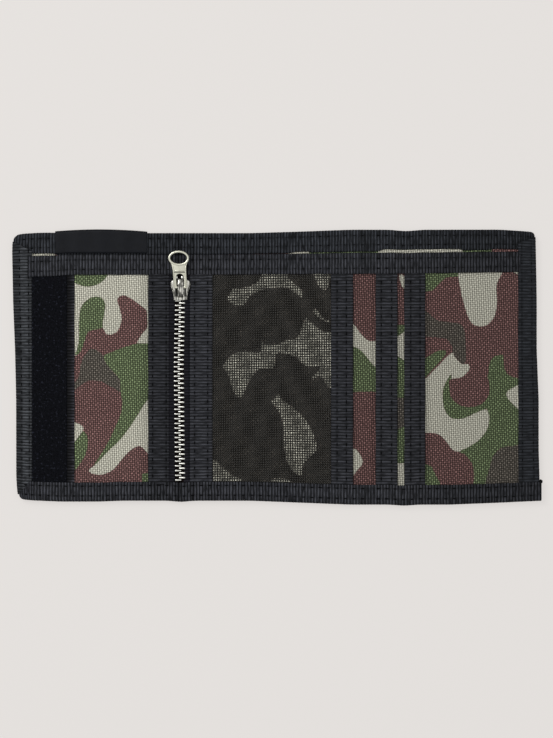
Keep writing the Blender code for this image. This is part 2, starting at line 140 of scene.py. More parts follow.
def stretched(vector, factors):
    return vector.add("ShaderNodeVectorMath", {"operation": "MULTIPLY"}, {0: vector, 1: factors})


def newFinish(name, constants):
    finish = bpy.data.materials.new(name)
    finish.use_nodes = True
    shader = finish.node_tree.nodes["Principled BSDF"]
    for key, value in constants.items():
        shader.inputs[key].default_value = value
    return finish, Wire(finish.node_tree), shader


def addBump(tree, shader, height, strength, distance):
    bump = tree.add("ShaderNodeBump",
                    sockets={"Strength": strength, "Distance": distance, "Height": height})
    plug(shader.inputs["Normal"], bump)


def srgb(red, green, blue):
    # display values 0 to 255 as linear light
    shares = np.array([red, green, blue]) / 255
    linear = np.where(shares > 0.04045, ((shares + 0.055) / 1.055) ** 2.4, shares / 12.92)
    return (*linear.tolist(), 1.0)


print("finishes")

printedCloth = {
    "brown": srgb(135, 102, 99),
    "tan": srgb(213, 211, 195),
    "green": srgb(122, 137, 101),
    "dark": srgb(110, 104, 96),
    "warpPitch": 1.02, "warpSlant": 0.04,
    "weftPitch": 0.95, "weftSlant": 0.07,
    "edgeSoftness": 0.16, "edgeRaggedness": 0.5,
    "holeDepth": 0.84, "crownLight": 1.5,
}


def clothFinish(name):
    finish, tree, shader = newFinish(name, {"Roughness": 0.85, "Specular IOR Level": 0.1})
    values = printedCloth
    place, x, y = splitPlace(tree)
    ragged = (noiseAt(place, 1.1) - 0.5) * values["edgeRaggedness"]
    soft = values["edgeSoftness"]
    colour = values["brown"]
    for key in ("green", "dark", "tan"):
        inside = easeStep(readMark(tree, key + "Print") + ragged, -soft, soft)
        colour = mixColour(inside, colour, values[key])
    pale = inside
    # plain weave: holes where the threads' edges meet, crowns where warp or weft lies on top
    drift = (noiseAt(place, 0.3) - 0.5) * 1.4 + (noiseAt(place, 1.0) - 0.5) * 1.3
    warp = (x + y * values["warpSlant"]) * (np.pi / values["warpPitch"]) + drift
    weft = (y - x * values["weftSlant"]) * (np.pi / values["weftPitch"]) + drift
    holes = (cosine(warp * 2.0) * 0.5 + 0.5) * (cosine(weft * 2.0) * 0.36 + 0.64)
    closed = 1.0 - holes * values["holeDepth"]
    over = cosine(warp - np.pi / 2) * cosine(weft - np.pi / 2)
    slub = noiseAt(stretched(place, (1.6, 1.2, 1.0)), 1.0, 3.0)
    crowns = easeStep(over * over + over * 0.4, 0.02, 1.0)
    darkLight = (0.36 + crowns * easeStep(slub, 0.22, 0.72) * values["crownLight"]) * closed
    paleLight = (0.66 + crowns * 0.46) * closed * (0.8 + slub * 0.35)
    light = darkLight * (1.0 - pale) + paleLight * pale
    plug(shader.inputs["Base Color"], scaleColour(colour, light * readMark(tree, "shade")))
    addBump(tree, shader, over - holes, 0.35, 0.00012)
    return finish


ribbedTape = {"pitch": 1.39, "fleckLength": 0.22, "fleckLight": 2.9, "grooveAndTuckShade": 0.4}


def ribFinish(name, colour, contrast=1.0, low=0.24, roughness=0.72):
    # ribs across the tape, each broken into pale flecks; low is the light between the ribs
    finish, tree, shader = newFinish(name, {"Roughness": roughness, "Specular IOR Level": 0.08})
    place, along, across = splitPlace(tree)
    wobble = noiseAt(stretched(place, (0.15, 0.5, 1.0)), 1.0) * 0.9
    crest = cosine(along * (2 * np.pi / ribbedTape["pitch"]) + wobble) * 0.5 + 0.5
    streaks = noiseAt(stretched(place, (1.4, ribbedTape["fleckLength"], 1.0)), 1.0, 3.0)
    fine = noiseAt(place, 2.2)
    worn = noiseAt(place, 0.12)
    lift = easeStep(streaks, 0.26, 0.66) * crest
    light = (low + lift * ribbedTape["fleckLight"] * contrast) * (0.75 + fine * 0.5) * (0.8 + worn * 0.4)
    # the groove mark darkens the stitch grooves and also carries painted shade at tucked tape ends
    light = light * (1.0 - readMark(tree, "groove") * ribbedTape["grooveAndTuckShade"])
    plug(shader.inputs["Base Color"], scaleColour(srgb(*colour), light * readMark(tree, "shade")))
    addBump(tree, shader, crest + fine * 0.4, 0.5, 0.0001)
    return finish


def threadFinish(name, colour, roughness, flecks=0.0):
    # light follows a fine noise; flecks is the strength of painted highlights on a few fibres
    finish, tree, shader = newFinish(name, {"Roughness": roughness, "Specular IOR Level": 0.06})
    place = readMark(tree, "place", out=1)
    twist = noiseAt(place, 1.7)
    light = 0.6 + twist * 0.8
    if flecks:
        light = light + easeStep(noiseAt(place, 0.9), 0.58, 0.72) * flecks
    plug(shader.inputs["Base Color"], scaleColour(srgb(*colour), light))
    addBump(tree, shader, twist, 0.3, 0.00008)
    return finish


meshStripes = {"peak": 2.0, "steepness": 0.96, "pitch": 1.03, "low": 0.06, "lift": 2.0}


def meshThreads(name, colour):
    # painted light for the moiré of mesh over weave: slanting stripes that meet in a peak, cos of (y +
    # distance from the peak)
    finish, tree, shader = newFinish(name, {"Roughness": 0.7, "Specular IOR Level": 0.06})
    values = meshStripes
    place, x, y = splitPlace(tree)
    aside = x - values["peak"]
    run = (y * values["steepness"] + (aside * aside) ** 0.5) * (2 * np.pi / values["pitch"])
    stripes = cosine(run + noiseAt(place, 0.2) * 2.0) * 0.5 + 0.5
    light = (values["low"] + stripes * values["lift"]) * (0.75 + noiseAt(place, 1.7) * 0.5)
    plug(shader.inputs["Base Color"], scaleColour(srgb(*colour), light))
    return finish


def nickelFinish(name, roughness, colour, glints=0.0, gap=None):
    # glints: depth of the soft dark reflections; gap: a rule giving the share of shadow at a place
    finish, tree, shader = newFinish(name, {"Metallic": 1.0})
    place = tree.add("ShaderNodeTexCoord", out=3)
    rubbed = noiseAt(place, 900.0, 3.0)
    scratch = noiseAt(stretched(place, (5200.0, 420.0, 900.0)), 1.0)
    light = 0.82 + rubbed * 0.3
    if glints:
        bands = noiseAt(stretched(place, (1100.0, 330.0, 600.0)), 1.0)
        light = light * (1.0 - (1.0 - easeStep(bands, 0.44, 0.54)) * glints)
    if gap:
        light = light * (1.0 - gap(axis(place, 0) * 1000.0, axis(place, 1) * 1000.0))
    plug(shader.inputs["Base Color"], scaleColour(colour, light))
    plug(shader.inputs["Roughness"], roughness + scratch * 0.16)
    addBump(tree, shader, scratch + rubbed, 0.12, 0.00004)
    return finish


def between(wire, low, high, rise, fall):
    # 1 between low and high, eased over rise above low and over fall below high
    return easeStep(wire, low, low + rise) * (1.0 - easeStep(wire, high - fall, high))


def besideBridge(x, y):
    # painted shadow in the deep channels between the slider's bridge and its rolled lips; distances are
    # squared
    aside = (x + 44.15) * (x + 44.15)
    return between(aside, 1.9, 7.4, 0.7, 1.8) * between(y, 31.8, 41.4, 1.0, 1.0) * 0.93


def underRidge(x, y):
    # painted shadow on the step below the pull's ridge
    aside = (x + 44.75) * (x + 44.75)
    return between(y, 43.4, 44.05, 0.2, 0.15) * (1.0 - easeStep(aside, 5.5, 7.0)) * 0.85


def satinFinish(name):
    # fine lengthways threads, cos of x, under soft uneven painted sheen and shade
    finish, tree, shader = newFinish(name, {"Roughness": 0.45, "Specular IOR Level": 0.1})
    place, x, y = splitPlace(tree)
    threads = cosine(x * (2 * np.pi / 0.42)) * 0.5 + 0.5
    soft = noiseAt(place, 0.25, 3.0)
    fine = noiseAt(stretched(place, (2.5, 0.7, 1.0)), 1.0)
    light = (0.6 + threads * 0.4) * (0.3 + soft * 0.9 + fine * 0.7)
    plug(shader.inputs["Base Color"], scaleColour(srgb(17, 19, 24), light))
    addBump(tree, shader, threads + fine, 0.2, 0.00005)
    return finish


cloth = clothFinish("printed_cloth")
topTapeFinish = ribFinish("ribbed_tape_top", (35, 37, 41), 0.95)
leftTapeFinish = ribFinish("ribbed_tape_left", (49, 51, 54), 0.78, 0.34)
rightTapeFinish = ribFinish("ribbed_tape_right", (36, 38, 42), 0.5, 0.42)
tapeFinish = ribFinish("ribbed_tape", (39, 40, 44))
uprightFinish = ribFinish("ribbed_tape_upright", (40, 41, 45), 0.8, 0.32)
zipTapeFinish = ribFinish("zip_tape_cloth", (26, 25, 31), 0.5)
meshFinish = meshThreads("window_mesh_thread", (52, 51, 49))
hookFinish = threadFinish("hook_pile", (11, 12, 17), 0.75, 5.0)
loopFinish = threadFinish("loop_pile", (22, 22, 25), 0.95)
sewingFinish = threadFinish("sewing_thread", (7, 7, 9), 0.9)
moltenFinish = threadFinish("sealed_tape_end", (14, 14, 16), 0.45)
satin = satinFinish("satin")
pullNickel = nickelFinish("nickel_pull", 0.2, (0.56, 0.555, 0.465, 1.0), gap=underRidge)
sliderNickel = nickelFinish("nickel_slider", 0.15, (0.6, 0.59, 0.54, 1.0), 0.75, besideBridge)
teethNickel = nickelFinish("nickel_teeth", 0.22, (0.72, 0.72, 0.67, 1.0))

settled = {
    # how far each sewn edge has wandered from straight: places along it, then shifts
    "top": ([-123, -120, -117, -109, -58, -12, 11, 34, 52, 60, 68, 103, 117, 123],
            [-1.6, -1.0, -0.6, -0.15, -0.35, -0.35, 0.35, 1.2, 1.2, 0.5, 1.2, 1.25, 0.4, -0.2]),
    "inner": ([-114, -103, -96, -50, 0, 65, 111], [-1.0, -0.7, 0.0, 0.0, 0.3, 0.7, 1.4]),
    "bottom": ([-122, -119, -114, -100, -82, -72, -50, -44, -38,
                -12, 11, 34, 52, 59, 66, 80, 103, 122],
               [1.8, 1.5, 1.1, 0.5, 0.5, 0.9, 0.9, 0.3, 0.9,
                0.9, 0.0, -0.9, -0.9, -1.4, -0.9, -0.9, 0.0, 0.9]),
    "left": ([-62.5, -60.5, -57, -52, -15, 8, 31, 55, 58, 60, 62.2],
             [2.9, 2.5, 2.2, 1.9, 1.85, 1.35, 0.45, 0.0, 0.1, 0.3, 0.5]),
    "right": ([-52, -38, -15, 8, 31, 59, 62], [0.4, 0.0, 0.0, -0.9, -0.9, -1.4, -1.6]),
    "softness": 2.0,
}


def wander(edge, along):
    # an edge's shift, read between its places and averaged over three spots
    places, shifts = settled[edge]
    ease = settled["softness"]
    read = lambda offset: np.interp(along + offset, places, shifts)
    return (read(-ease) + 2 * read(0.0) + read(ease)) / 4


def settle(points):
    # moves points with the sewn edges: y by the shift of the nearest rows, x near the two ends
    x, y = points[..., 0], points[..., 1]
    top, inner, bottom = wander("top", x), wander("inner", x), wander("bottom", x)
    rows = [-62.5, -53.7, 0.0, 47.0, 62.15]
    shares = [np.interp(y, rows, np.eye(5)[k]) for k in range(5)]
    up = bottom * shares[0] + 0.75 * bottom * shares[1] + inner * shares[3] + top * shares[4]
    side = wander("left", y) * np.clip((-112.5 - x) / 9.5, 0, 1)
    side = side + wander("right", y) * np.clip((x - 111.0) / 10.0, 0, 1)
    return points + np.stack([side, up, np.zeros_like(up)], -1)


def addObject(name, data):
    piece = bpy.data.objects.new(name, data)
    bpy.context.scene.collection.objects.link(piece)
    return piece


def makePiece(name, points, faces, marks, finish):
    # points in millimetres; marks become attributes; a shape with negative volume is turned out
    points = np.asarray(points, float).reshape(-1, 3)
    faces = np.asarray(faces)
    a, b, c = (points[faces[:, k]] for k in (0, 1, 2))
    volume = np.einsum("ij,ij->i", a, np.cross(b, c)).sum()
    if faces.shape[1] == 4:
        d = points[faces[:, 3]]
        volume += np.einsum("ij,ij->i", a, np.cross(c, d)).sum()
    if volume < 0:
        faces = faces[:, ::-1]
    mesh = bpy.data.meshes.new(name)
    mesh.vertices.add(len(points))
    mesh.vertices.foreach_set("co", (points * mm).astype(np.float32).ravel())
    mesh.loops.add(faces.size)
    mesh.loops.foreach_set("vertex_index", faces.astype(np.int32).ravel())
    mesh.polygons.add(len(faces))
    corners = faces.shape[1]
    mesh.polygons.foreach_set("loop_start", np.arange(0, faces.size, corners, dtype=np.int32))
    mesh.update(calc_edges=True)
    mesh.shade_smooth()
    for key, values in marks.items():
        values = np.asarray(values, np.float32)
        kind, field = ("FLOAT_VECTOR", "vector") if values.ndim == 2 else ("FLOAT", "value")
        attribute = mesh.attributes.new(key, kind, "POINT")
        attribute.data.foreach_set(field, values.ravel())
    mesh.materials.append(finish)
    return addObject(name, mesh)


def nudge(piece, rule):
    # moves a piece's points, in millimetres, by a rule of x, y and z
    spots = np.zeros(len(piece.data.vertices) * 3, np.float32)
    piece.data.vertices.foreach_get("co", spots)
    x, y, z = spots.reshape(-1, 3).T / mm
    piece.data.vertices.foreach_set("co", (np.stack(rule(x, y, z), -1) * mm).astype(np.float32).ravel())
    piece.data.update()


def gridFaces(index, closed=False):
    # quads between neighbours of a grid of vertex numbers, the second way round if closed
    across = np.roll(index, -1, axis=1) if closed else index[:, 1:]
    here = index if closed else index[:, :-1]
    return np.stack([here[:-1], here[1:], across[1:], across[:-1]], -1).reshape(-1, 4)


def repeatFaces(shape, size, starts):
    # one small shape's faces, of size vertices, repeated with its vertex numbers moved to each start
    return (shape[None] + (size * np.asarray(starts))[:, None, None]).reshape(-1, shape.shape[1])


folds = {
    # part: (bodies, x where the bend starts and ends, x range of the part)
    "A": ("left_panel", "left_spine", -54.0, -50.4, -123.0, -45.1),
    "B": ("left_spine", "middle", -40.1, -36.9, -45.1, 2.1),
    "C": ("middle", "right_spine", 41.0, 44.4, 2.1, 44.5),
    "D": ("right_spine", "right_panel", 44.6, 48.0, 44.5, 123.0),
}


def bendPart(piece):
    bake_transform(piece)


def enrol(piece, nodes=(), body=None, part=None):
    # what moves the piece (a body, or a fold part, which is only baked in place) and the CAD parts it stands
    # for, which are hidden
    if part:
        bendPart(piece)
    else:
        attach(piece, body)
    if nodes:
        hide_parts(*nodes)


def evenly(low, high, step):
    return np.linspace(low, high, max(2, int(round((high - low) / step)) + 1))


def clothSheet(name, xRange, yRange, top, thickness, step, paint, finish, puff=None):
    # two grids, top(x, y) and the same less the thickness, joined round the rim;
    # the rim thins to a third, so that a cut edge looks soft
    xs, ys = evenly(*xRange, step), evenly(*yRange, step)
    x, y = np.meshgrid(xs, ys, indexing="ij")
    high = top(x, y) + (puff(x, y) if puff else 0.0)
    upper = settle(np.stack([x, y, high], -1))
    rim = np.minimum.reduce([x - xRange[0], xRange[1] - x, y - yRange[0], yRange[1] - y])
    thin = thickness * np.clip(0.35 + rim / 0.8, 0, 1)
    lower = upper - np.stack([0 * x, 0 * x, thin], -1)
    count = x.size
    index = np.arange(count).reshape(x.shape)
    loop = np.concatenate([index[:, 0], index[-1, 1:], index[-2::-1, -1], index[0, -2:0:-1]])
    after = np.roll(loop, -1)
    side = np.stack([loop, loop + count, after + count, after], -1)
    faces = np.concatenate([gridFaces(index), gridFaces(index)[:, ::-1] + count, side])
    marks = paint(x.ravel(), y.ravel())
    marks["place"] = np.stack([x.ravel(), y.ravel(), 0 * x.ravel()], -1)
    doubled = {key: np.concatenate([value, value]) for key, value in marks.items()}
    return makePiece(name, np.stack([upper, lower]).reshape(-1, 3), faces, doubled, finish)


ribHeights = np.array([0.0, 0.6, 1.0, 0.6])    # one rib's rise at its stations
ribChance = chance.uniform(0.45, 1.0, 400)     # how high each rib stands


def ribStations(low, high):
    # places along a tape on the ribs' own grid, with each rib's height, so that cut parts meet
    share = len(ribHeights)
    step = ribbedTape["pitch"] / share
    first, last = int(np.ceil(low / step + 0.2)), int(np.floor(high / step - 0.2))
    number = np.arange(first, last + 1)
    along = np.concatenate([[low], number * step, [high]])
    rise = ribHeights[number % share] * ribChance[(number // share) % len(ribChance)]
    return along, np.concatenate([[0.0], rise, [0.0]])


def runAlong(line):
    # distance from the start of a line to each of its points
    return np.concatenate([[0.0], np.cumsum(np.linalg.norm(np.diff(line, axis=0), axis=1))])


def ribbedStrip(name, way, span, section, thickness, ribHeight, finish, grooves=(), skewed=None, lift=None,
                shade=None):
    # a section carried along the tape: centre line (c, h) offset each way by half the thickness
    # plus the rib's rise, closed round both ends of the section and capped at the tape's ends
    along, rise = ribStations(*span)
    line = np.asarray(section, float)
    slope = np.gradient(line, axis=0)
    slope /= np.linalg.norm(slope, axis=1)[:, None]
    normal = np.stack([-slope[:, 1], slope[:, 0]], -1)
    ends = np.ones(len(line))
    ends[[0, -1]] = 0.3
    travelled = runAlong(line)
    groove = np.zeros(len(line))
    for place in grooves:
        groove = np.maximum(groove, np.exp(-((travelled - place) / 0.42) ** 2))
    half = (thickness / 2) * ends[None, :] + ribHeight * rise[:, None] * (1 - groove) * ends[None, :]
    sink = 0.14 * groove[None, :]
    outer = line[None] + normal[None] * (half - sink)[..., None]
    inner = line[None] - normal[None] * half[..., None]
    loop = np.concatenate([outer, inner[:, ::-1]], axis=1)
    across, height = loop[..., 0], loop[..., 1]
    u = np.broadcast_to(along[:, None], across.shape).copy()
    if skewed:
        u = u + skewed(u, across)
    if lift:
        height = height + lift(u, across, height)
    flat = [u, across, height] if way == "x" else [across, u, height]
    points = settle(np.stack(flat, -1))
    index = np.arange(across.size).reshape(across.shape)
    faces = gridFaces(index, closed=True)
    size = len(line)
    caps = []
    for row in (index[0], index[-1][::-1]):
        near, far = row[:size], row[::-1][:size]
        caps.append(np.stack([near[:-1], near[1:], far[1:], far[:-1]], -1))
    faces = np.concatenate([faces, *caps])
    twice = np.concatenate([travelled, travelled[::-1]])
    place = np.stack([u, np.broadcast_to(twice, u.shape), 0 * u], -1).reshape(-1, 3)
    # painted shade on the ends of upright tapes, where they tuck under the crossing bands
    cut = np.exp(-(np.minimum(along - along[0], along[-1] - along) / 0.45) ** 2) * 1.6 * (way == "y")
    dark = np.maximum(np.concatenate([groove, groove[::-1]])[None], cut[:, None])
    tone = shade(u, across) if shade else np.ones(u.shape)
    marks = {"place": place, "groove": dark.ravel(), "shade": tone.ravel()}
    return makePiece(name, points, faces, marks, finish)


def foldSection(edge, width, low, high, back):
    # a U: lower leg, half-round bend at the edge, upper leg; width and back are signed, inwards
    turn = 1 if width > 0 else -1
    radius = (high - low) / 2
    angles = np.radians(np.linspace(-80, 80, 7))
    bend = np.stack([edge + turn * min(radius, 0.9) * (1 - np.cos(angles)),
                     (low + high) / 2 + radius * np.sin(angles)], -1)
    lower = np.stack([np.linspace(edge + back, edge + turn * 1.1, 7), np.full(7, low)], -1)
    upper = np.stack([np.linspace(edge + turn * 1.1, edge + width, 15), np.full(15, high)], -1)
    return np.concatenate([lower, bend, upper])


def flatSection(low, high, height, crown=0.1):
    # nearly flat: height plus a low crown, (1 - t squared) times crown
    t = np.linspace(-1, 1, 17)
    return np.stack([(low + high) / 2 + (high - low) / 2 * t, height + crown * (1 - t ** 2)], -1)


def runsTo(section, place):
    # how far along the section, from its start, its upper leg passes this place across the tape
    tail = slice(len(section) // 2, None)
    order = np.argsort(section[tail, 0])
    return float(np.interp(place, section[tail, 0][order], runAlong(section)[tail][order]))


def smoothLoop(outline):
    # closed cubic curve through the points, six steps to a span: the slope at a point is that of
    # the line between its neighbours, scaled to the span's own length
    points = np.asarray(outline, float)
    after = np.roll(points, -1, 0)
    span = np.linalg.norm(after - points, axis=1)[:, None] + 1e-6
    slope = (after - np.roll(points, 1, 0)) / (span + np.roll(span, 1, 0))
    t = (np.arange(6) / 6)[None, :, None]
    start, end = points[:, None], after[:, None]
    leave, arrive = (slope * span)[:, None], (np.roll(slope, -1, 0) * span)[:, None]
    curve = (2 * t ** 3 - 3 * t ** 2 + 1) * start + (3 * t ** 2 - 2 * t ** 3) * end
    curve = curve + (t ** 3 - 2 * t ** 2 + t) * leave + (t ** 3 - t ** 2) * arrive
    return curve.reshape(-1, 2)


def inkDistance(x, y, outline):
    # distance to the curve, positive inside it: even number of crossings means outside
    loop = smoothLoop(outline)
    ends = np.roll(loop, -1, 0)
    best = np.full(x.shape, 1e9)
    inside = np.zeros(x.shape, bool)
    for (ax, ay), (bx, by) in zip(loop, ends):
        dx, dy = bx - ax, by - ay
        share = np.clip(((x - ax) * dx + (y - ay) * dy) / (dx * dx + dy * dy + 1e-12), 0, 1)
        best = np.minimum(best, (x - ax - share * dx) ** 2 + (y - ay - share * dy) ** 2)
        spans = (ay > y) != (by > y)
        inside ^= spans & (x < ax + (y - ay) * dx / (dy if dy else 1e-12))
    return np.where(inside, 1, -1) * np.sqrt(best)


def paintShapes(x, y, shapes, start=None):
    # each shape in turn: its own ink grows to it, every other ink is cut back by it
    ink = start or {key: np.full(x.shape, -9.0) for key in ("tan", "green", "dark")}
    for colour, outline in shapes:
        distance = inkDistance(x, y, outline)
        for key in ink:
            ink[key] = np.maximum(ink[key], distance) if key == colour else np.minimum(ink[key], -distance)
    return ink


def strayInk(x, y, seed):
    # rolling sums of sine waves in random directions, cut at a level: large soft blotches
    draw = np.random.default_rng(seed)
    ink = {}
    for key, level in (("green", 0.15), ("dark", 0.75), ("tan", 0.62)):
        total = np.zeros(x.shape)
        for _ in range(9):
            angle, length, phase = draw.uniform(0, np.pi), draw.uniform(26, 62), draw.uniform(0, 2 * np.pi)
            run = x * np.cos(angle) + y * np.sin(angle) * 1.25
            total += np.sin(run * 2 * np.pi / length + phase)
        ink[key] = (total / 2.1 - level) * 5.0
    ink["green"] = np.minimum(ink["green"], np.minimum(-ink["dark"], -ink["tan"]))
    ink["dark"] = np.minimum(ink["dark"], -ink["tan"])
    return ink


def inkMarks(ink, shade=1.0):
    # the attributes that the cloth's finish reads
    marks = {key + "Print": value for key, value in ink.items()}
    marks["shade"] = np.broadcast_to(shade, marks["tanPrint"].shape).astype(float)
    return marks


def printed(shapes, shade=None):
    return lambda x, y: inkMarks(paintShapes(x, y, shapes), shade(x, y) if shade else 1.0)


def stray(seed, shapes=()):
    return lambda x, y: inkMarks(paintShapes(x, y, shapes, strayInk(x, y, seed)))


def band(left, right, low, high):
    # a plain rectangle with a point every few millimetres, so that the smooth curve stays straight
    xs, ys = evenly(left, right, 3.0), evenly(low, high, 3.0)
    lower = [(x, low) for x in xs] + [(right, y) for y in ys[1:-1]]
    return lower + [(x, high) for x in xs[::-1]] + [(left, y) for y in ys[-2:0:-1]]


coinPrint = [
    ("tan", [(-97, 48), (-97, 6), (-93.7, 4.9), (-91.5, 6), (-89.9, 8.3), (-88.1, 13.9), (-87.1, 16.2),
             (-85, 17.1), (-80.5, 18.1), (-78.6, 15.3), (-76.7, 15), (-74.9, 15.5), (-73.2, 16.9),
             (-71.6, 21.8), (-72.5, 27.3), (-73.6, 31), (-73, 32.2), (-71.6, 33), (-69.8, 33),
             (-66.1, 30.9), (-62.8, 28.5), (-60, 25.9), (-59.7, 22), (-59.7, 18.5), (-62.1, 15.3),
             (-63.3, 13.4), (-64.3, 11), (-60, 10.8), (-53, 10.8), (-52, 30), (-53, 48)]),
    ("green", [(-97, 46), (-95, 41), (-92.9, 38.7), (-87.4, 37.1), (-82.7, 38.2), (-78.8, 41.2),
               (-77.4, 46)]),
    ("green", [(-83.4, 32.6), (-80.9, 31.9), (-79.3, 29.9), (-79.1, 27.3), (-80.2, 20.8), (-80.4, 18.1),
               (-82.7, 17.5), (-85, 17.1), (-87.1, 16.2), (-88.1, 13.9), (-89, 11.1), (-89.9, 8.3),
               (-91.5, 6), (-93.1, 5.6), (-92, 8.8), (-91.3, 13.4), (-91.2, 22.7), (-89.9, 28.5),
               (-86.4, 31.7)]),
    ("green", [(-64.3, 11), (-67, 10.1), (-70.2, 9.3), (-76.2, 6.9), (-80, 5.1), (-79.3, 2.8),
               (-77.6, 0.2), (-75.8, -1.9), (-72.5, -5.8), (-72.3, -10), (-71.6, -13.9), (-71.2, -16.7),
               (-72.1, -22.3), (-74.4, -27.8), (-77.4, -34.3), (-80.6, -39.9), (-83.7, -44.5),
               (-84.6, -46.3), (-82.7, -44.5), (-78.1, -39.6), (-72.5, -34.3), (-67.9, -28.3),
               (-63.7, -21.8), (-60.5, -16.7), (-53, -6), (-52, 6), (-56, 10.6), (-60, 10.9)]),
    ("dark", [(-80, 5.1), (-81.3, 6.5), (-84.1, 8.3), (-86.4, 8.1), (-87.8, 6.5), (-89.2, 4.6),
              (-90.6, 0.5), (-91.6, -5), (-95, -9), (-97, -12), (-93.7, -10.9), (-91.5, -9.3),
              (-87.4, -6.6), (-84.1, -6.3), (-80.9, -6.8), (-76.7, -9.1), (-74.4, -10.2), (-72.5, -11.9),
              (-72.3, -9), (-72.5, -5.8), (-75.8, -1.9), (-77.6, 0.2), (-79.3, 2.8)]),
    ("tan", [(-60.5, -16.7), (-63.7, -21.8), (-67.9, -28.3), (-72.5, -34.3), (-78.1, -39.6),
             (-82.7, -44.5), (-84.6, -46.3), (-86.7, -48), (-85, -49.6), (-80.4, -50), (-75.3, -47.7),
             (-70.7, -42.2), (-66.5, -38.2), (-63, -37), (-60.3, -39.4), (-56, -44), (-52, -38),
             (-53, -18), (-57, -13)]),
    ("tan", [(-97, -25), (-94, -25.5), (-90.1, -27.1), (-89.1, -28.7), (-90.6, -31.1), (-94.1, -35.7),
             (-97, -38)]),
    ("green", [(-89.2, -29.7), (-87.8, -31.5), (-87, -34.3), (-88.3, -40.8), (-91.1, -45.4),
               (-94, -48.6), (-98, -50), (-98, -38), (-94.1, -35.7), (-92.5, -33.8), (-90.6, -31.1)]),
    ("green", [(-62, -50), (-60, -49.6), (-56, -50), (-56, -58), (-61.5, -58), (-62, -54)]),
]

windowPrint = [
    ("dark", band(-42, 31, -64, 58)),
    ("tan", [(-20.8, 35.1), (-22.6, 32), (-22.4, 30.7), (-18.8, 28.4), (-15.3, 28.5), (-11.9, 32.8),
             (-7.2, 35.1), (-0.3, 36.6), (4.4, 36.3), (9.6, 33.4), (11.6, 31.4), (12.2, 34.3),
             (7.8, 38.9), (5.5, 40.6), (4.4, 47), (-6.6, 47), (-7.8, 40.3), (-12.4, 37.2), (-15.3, 36.6),
             (-20, 36.3)]),
    ("tan", [(16.5, 47), (16.9, 43), (18.5, 38.9), (20.6, 36), (23.2, 35.7), (25, 42), (25.5, 47)]),
    ("tan", [(16.8, 25.9), (18, 26.7), (19.7, 25), (22.3, 22.1), (24.8, 21), (24.3, 20.1),
             (19.4, 22.7)]),
    ("tan", [(-24.6, 0.1), (-23.7, 2.4), (-21.1, 5.3), (-18.2, 6.8), (-14.7, 7.6), (-7.8, 6.5),
             (-7.2, 10), (-6.9, 12.8), (-6.1, 11.1), (-3.2, 10), (0.9, 10.5), (4.9, 12.6), (9, 13.1),
             (11, 15.7), (11.6, 18.6), (13, 21.5), (13.9, 22.4), (15.4, 21), (20.6, 16.9), (25.5, 15.8),
             (29, 14), (29, -9), (24.3, -9.6), (21.1, -5), (18.2, -4.7), (16.8, -6.1), (16.5, -4.8),
             (18.2, -2.8), (20.3, -0.2), (16.5, 0.1), (13.6, 0.4), (9, 4.5), (4.9, 5.9), (2, 6.5),
             (-0.3, 5.9), (-1.4, -0.5), (-7.8, -0.8), (-9.5, -2.2), (-13, -7.3), (-15.3, -13.1),
             (-17.1, -14.1), (-18.8, -13.9), (-21.1, -8.4), (-21.7, -5), (-23.1, -2.8)]),
    ("tan", [(-2.6, -16), (-0.9, -15.1), (0.8, -12.2), (2, -14.5), (7.8, -18.9), (13.6, -24.7),
             (17.1, -31), (18.7, -38), (17.1, -40), (13, -43.8), (11.9, -46.6), (11.6, -50.1),
             (7.8, -48.4), (4.6, -43.2), (3.2, -34.5), (3.5, -29.9), (2, -22.9), (-1.1, -17.7)]),
    ("tan", [(-32, -43), (-28.9, -43.2), (-25.2, -46.6), (-20.2, -50.7), (-16, -53.4), (-18, -57),
             (-32, -57)]),
    ("tan", [(-4, -58), (-2.9, -53), (-1.4, -51.9), (4.9, -52.1), (6.9, -53.4), (7, -58)]),
]

stripPrint = [
    ("tan", [(32, 22), (35.8, 19.4), (38.2, 16.2), (41.4, 12.7), (43.7, 11.8), (50, 11.7), (50, -3),
             (44.4, 1.2), (40.9, 5.6), (37.2, 8.8), (32, 9.6)]),
    ("green", [(32, 9.6), (35, 9.3), (37.2, 8.8), (39.1, 7.4), (40.9, 5.6), (42.8, 3.2), (44.4, 1.2),
               (49, -3), (50, -11.2), (44, -11.2), (38, -11.2), (32, -11.2)]),
    ("tan", [(32, -36), (34.7, -37.3), (36.3, -37.3), (37.9, -38.9), (39.3, -41.2), (39.9, -43.3),
             (39.1, -45.1), (37.2, -47.2), (35.6, -49.5), (33, -51)]),
]

backPocketPrint = [
    ("tan", [(56.9, 42.4), (58.2, 42), (60.4, 40), (61, 35.6), (59, 35.5), (57.3, 38.6)]),
    ("green", [(50, 19.4), (58, 19.2), (66, 20), (66, 18), (58, 14.8), (50, 12.6)]),
    ("tan", [(50, 12.6), (56, 14.1), (59.4, 16.2), (66, 19), (66, 0), (59, 3.2), (56, 4.9), (50, 7)]),
    ("green", [(50, 7), (56, 4.9), (59, 3.2), (66, 0), (66, -14.2), (58, -14.1), (50, -14)]),
    ("dark", [(50, -14), (58, -14.1), (66, -14.2), (66, -25), (59, -26.9), (56, -28.2), (50, -30)]),
    ("green", [(50, -30), (56, -28.2), (59, -26.9), (66, -25), (66, -43), (58, -43.8), (50, -44)]),
    ("tan", [(50, -44), (58, -43.8), (66, -43), (66, -58), (58, -58), (50, -58)]),
]

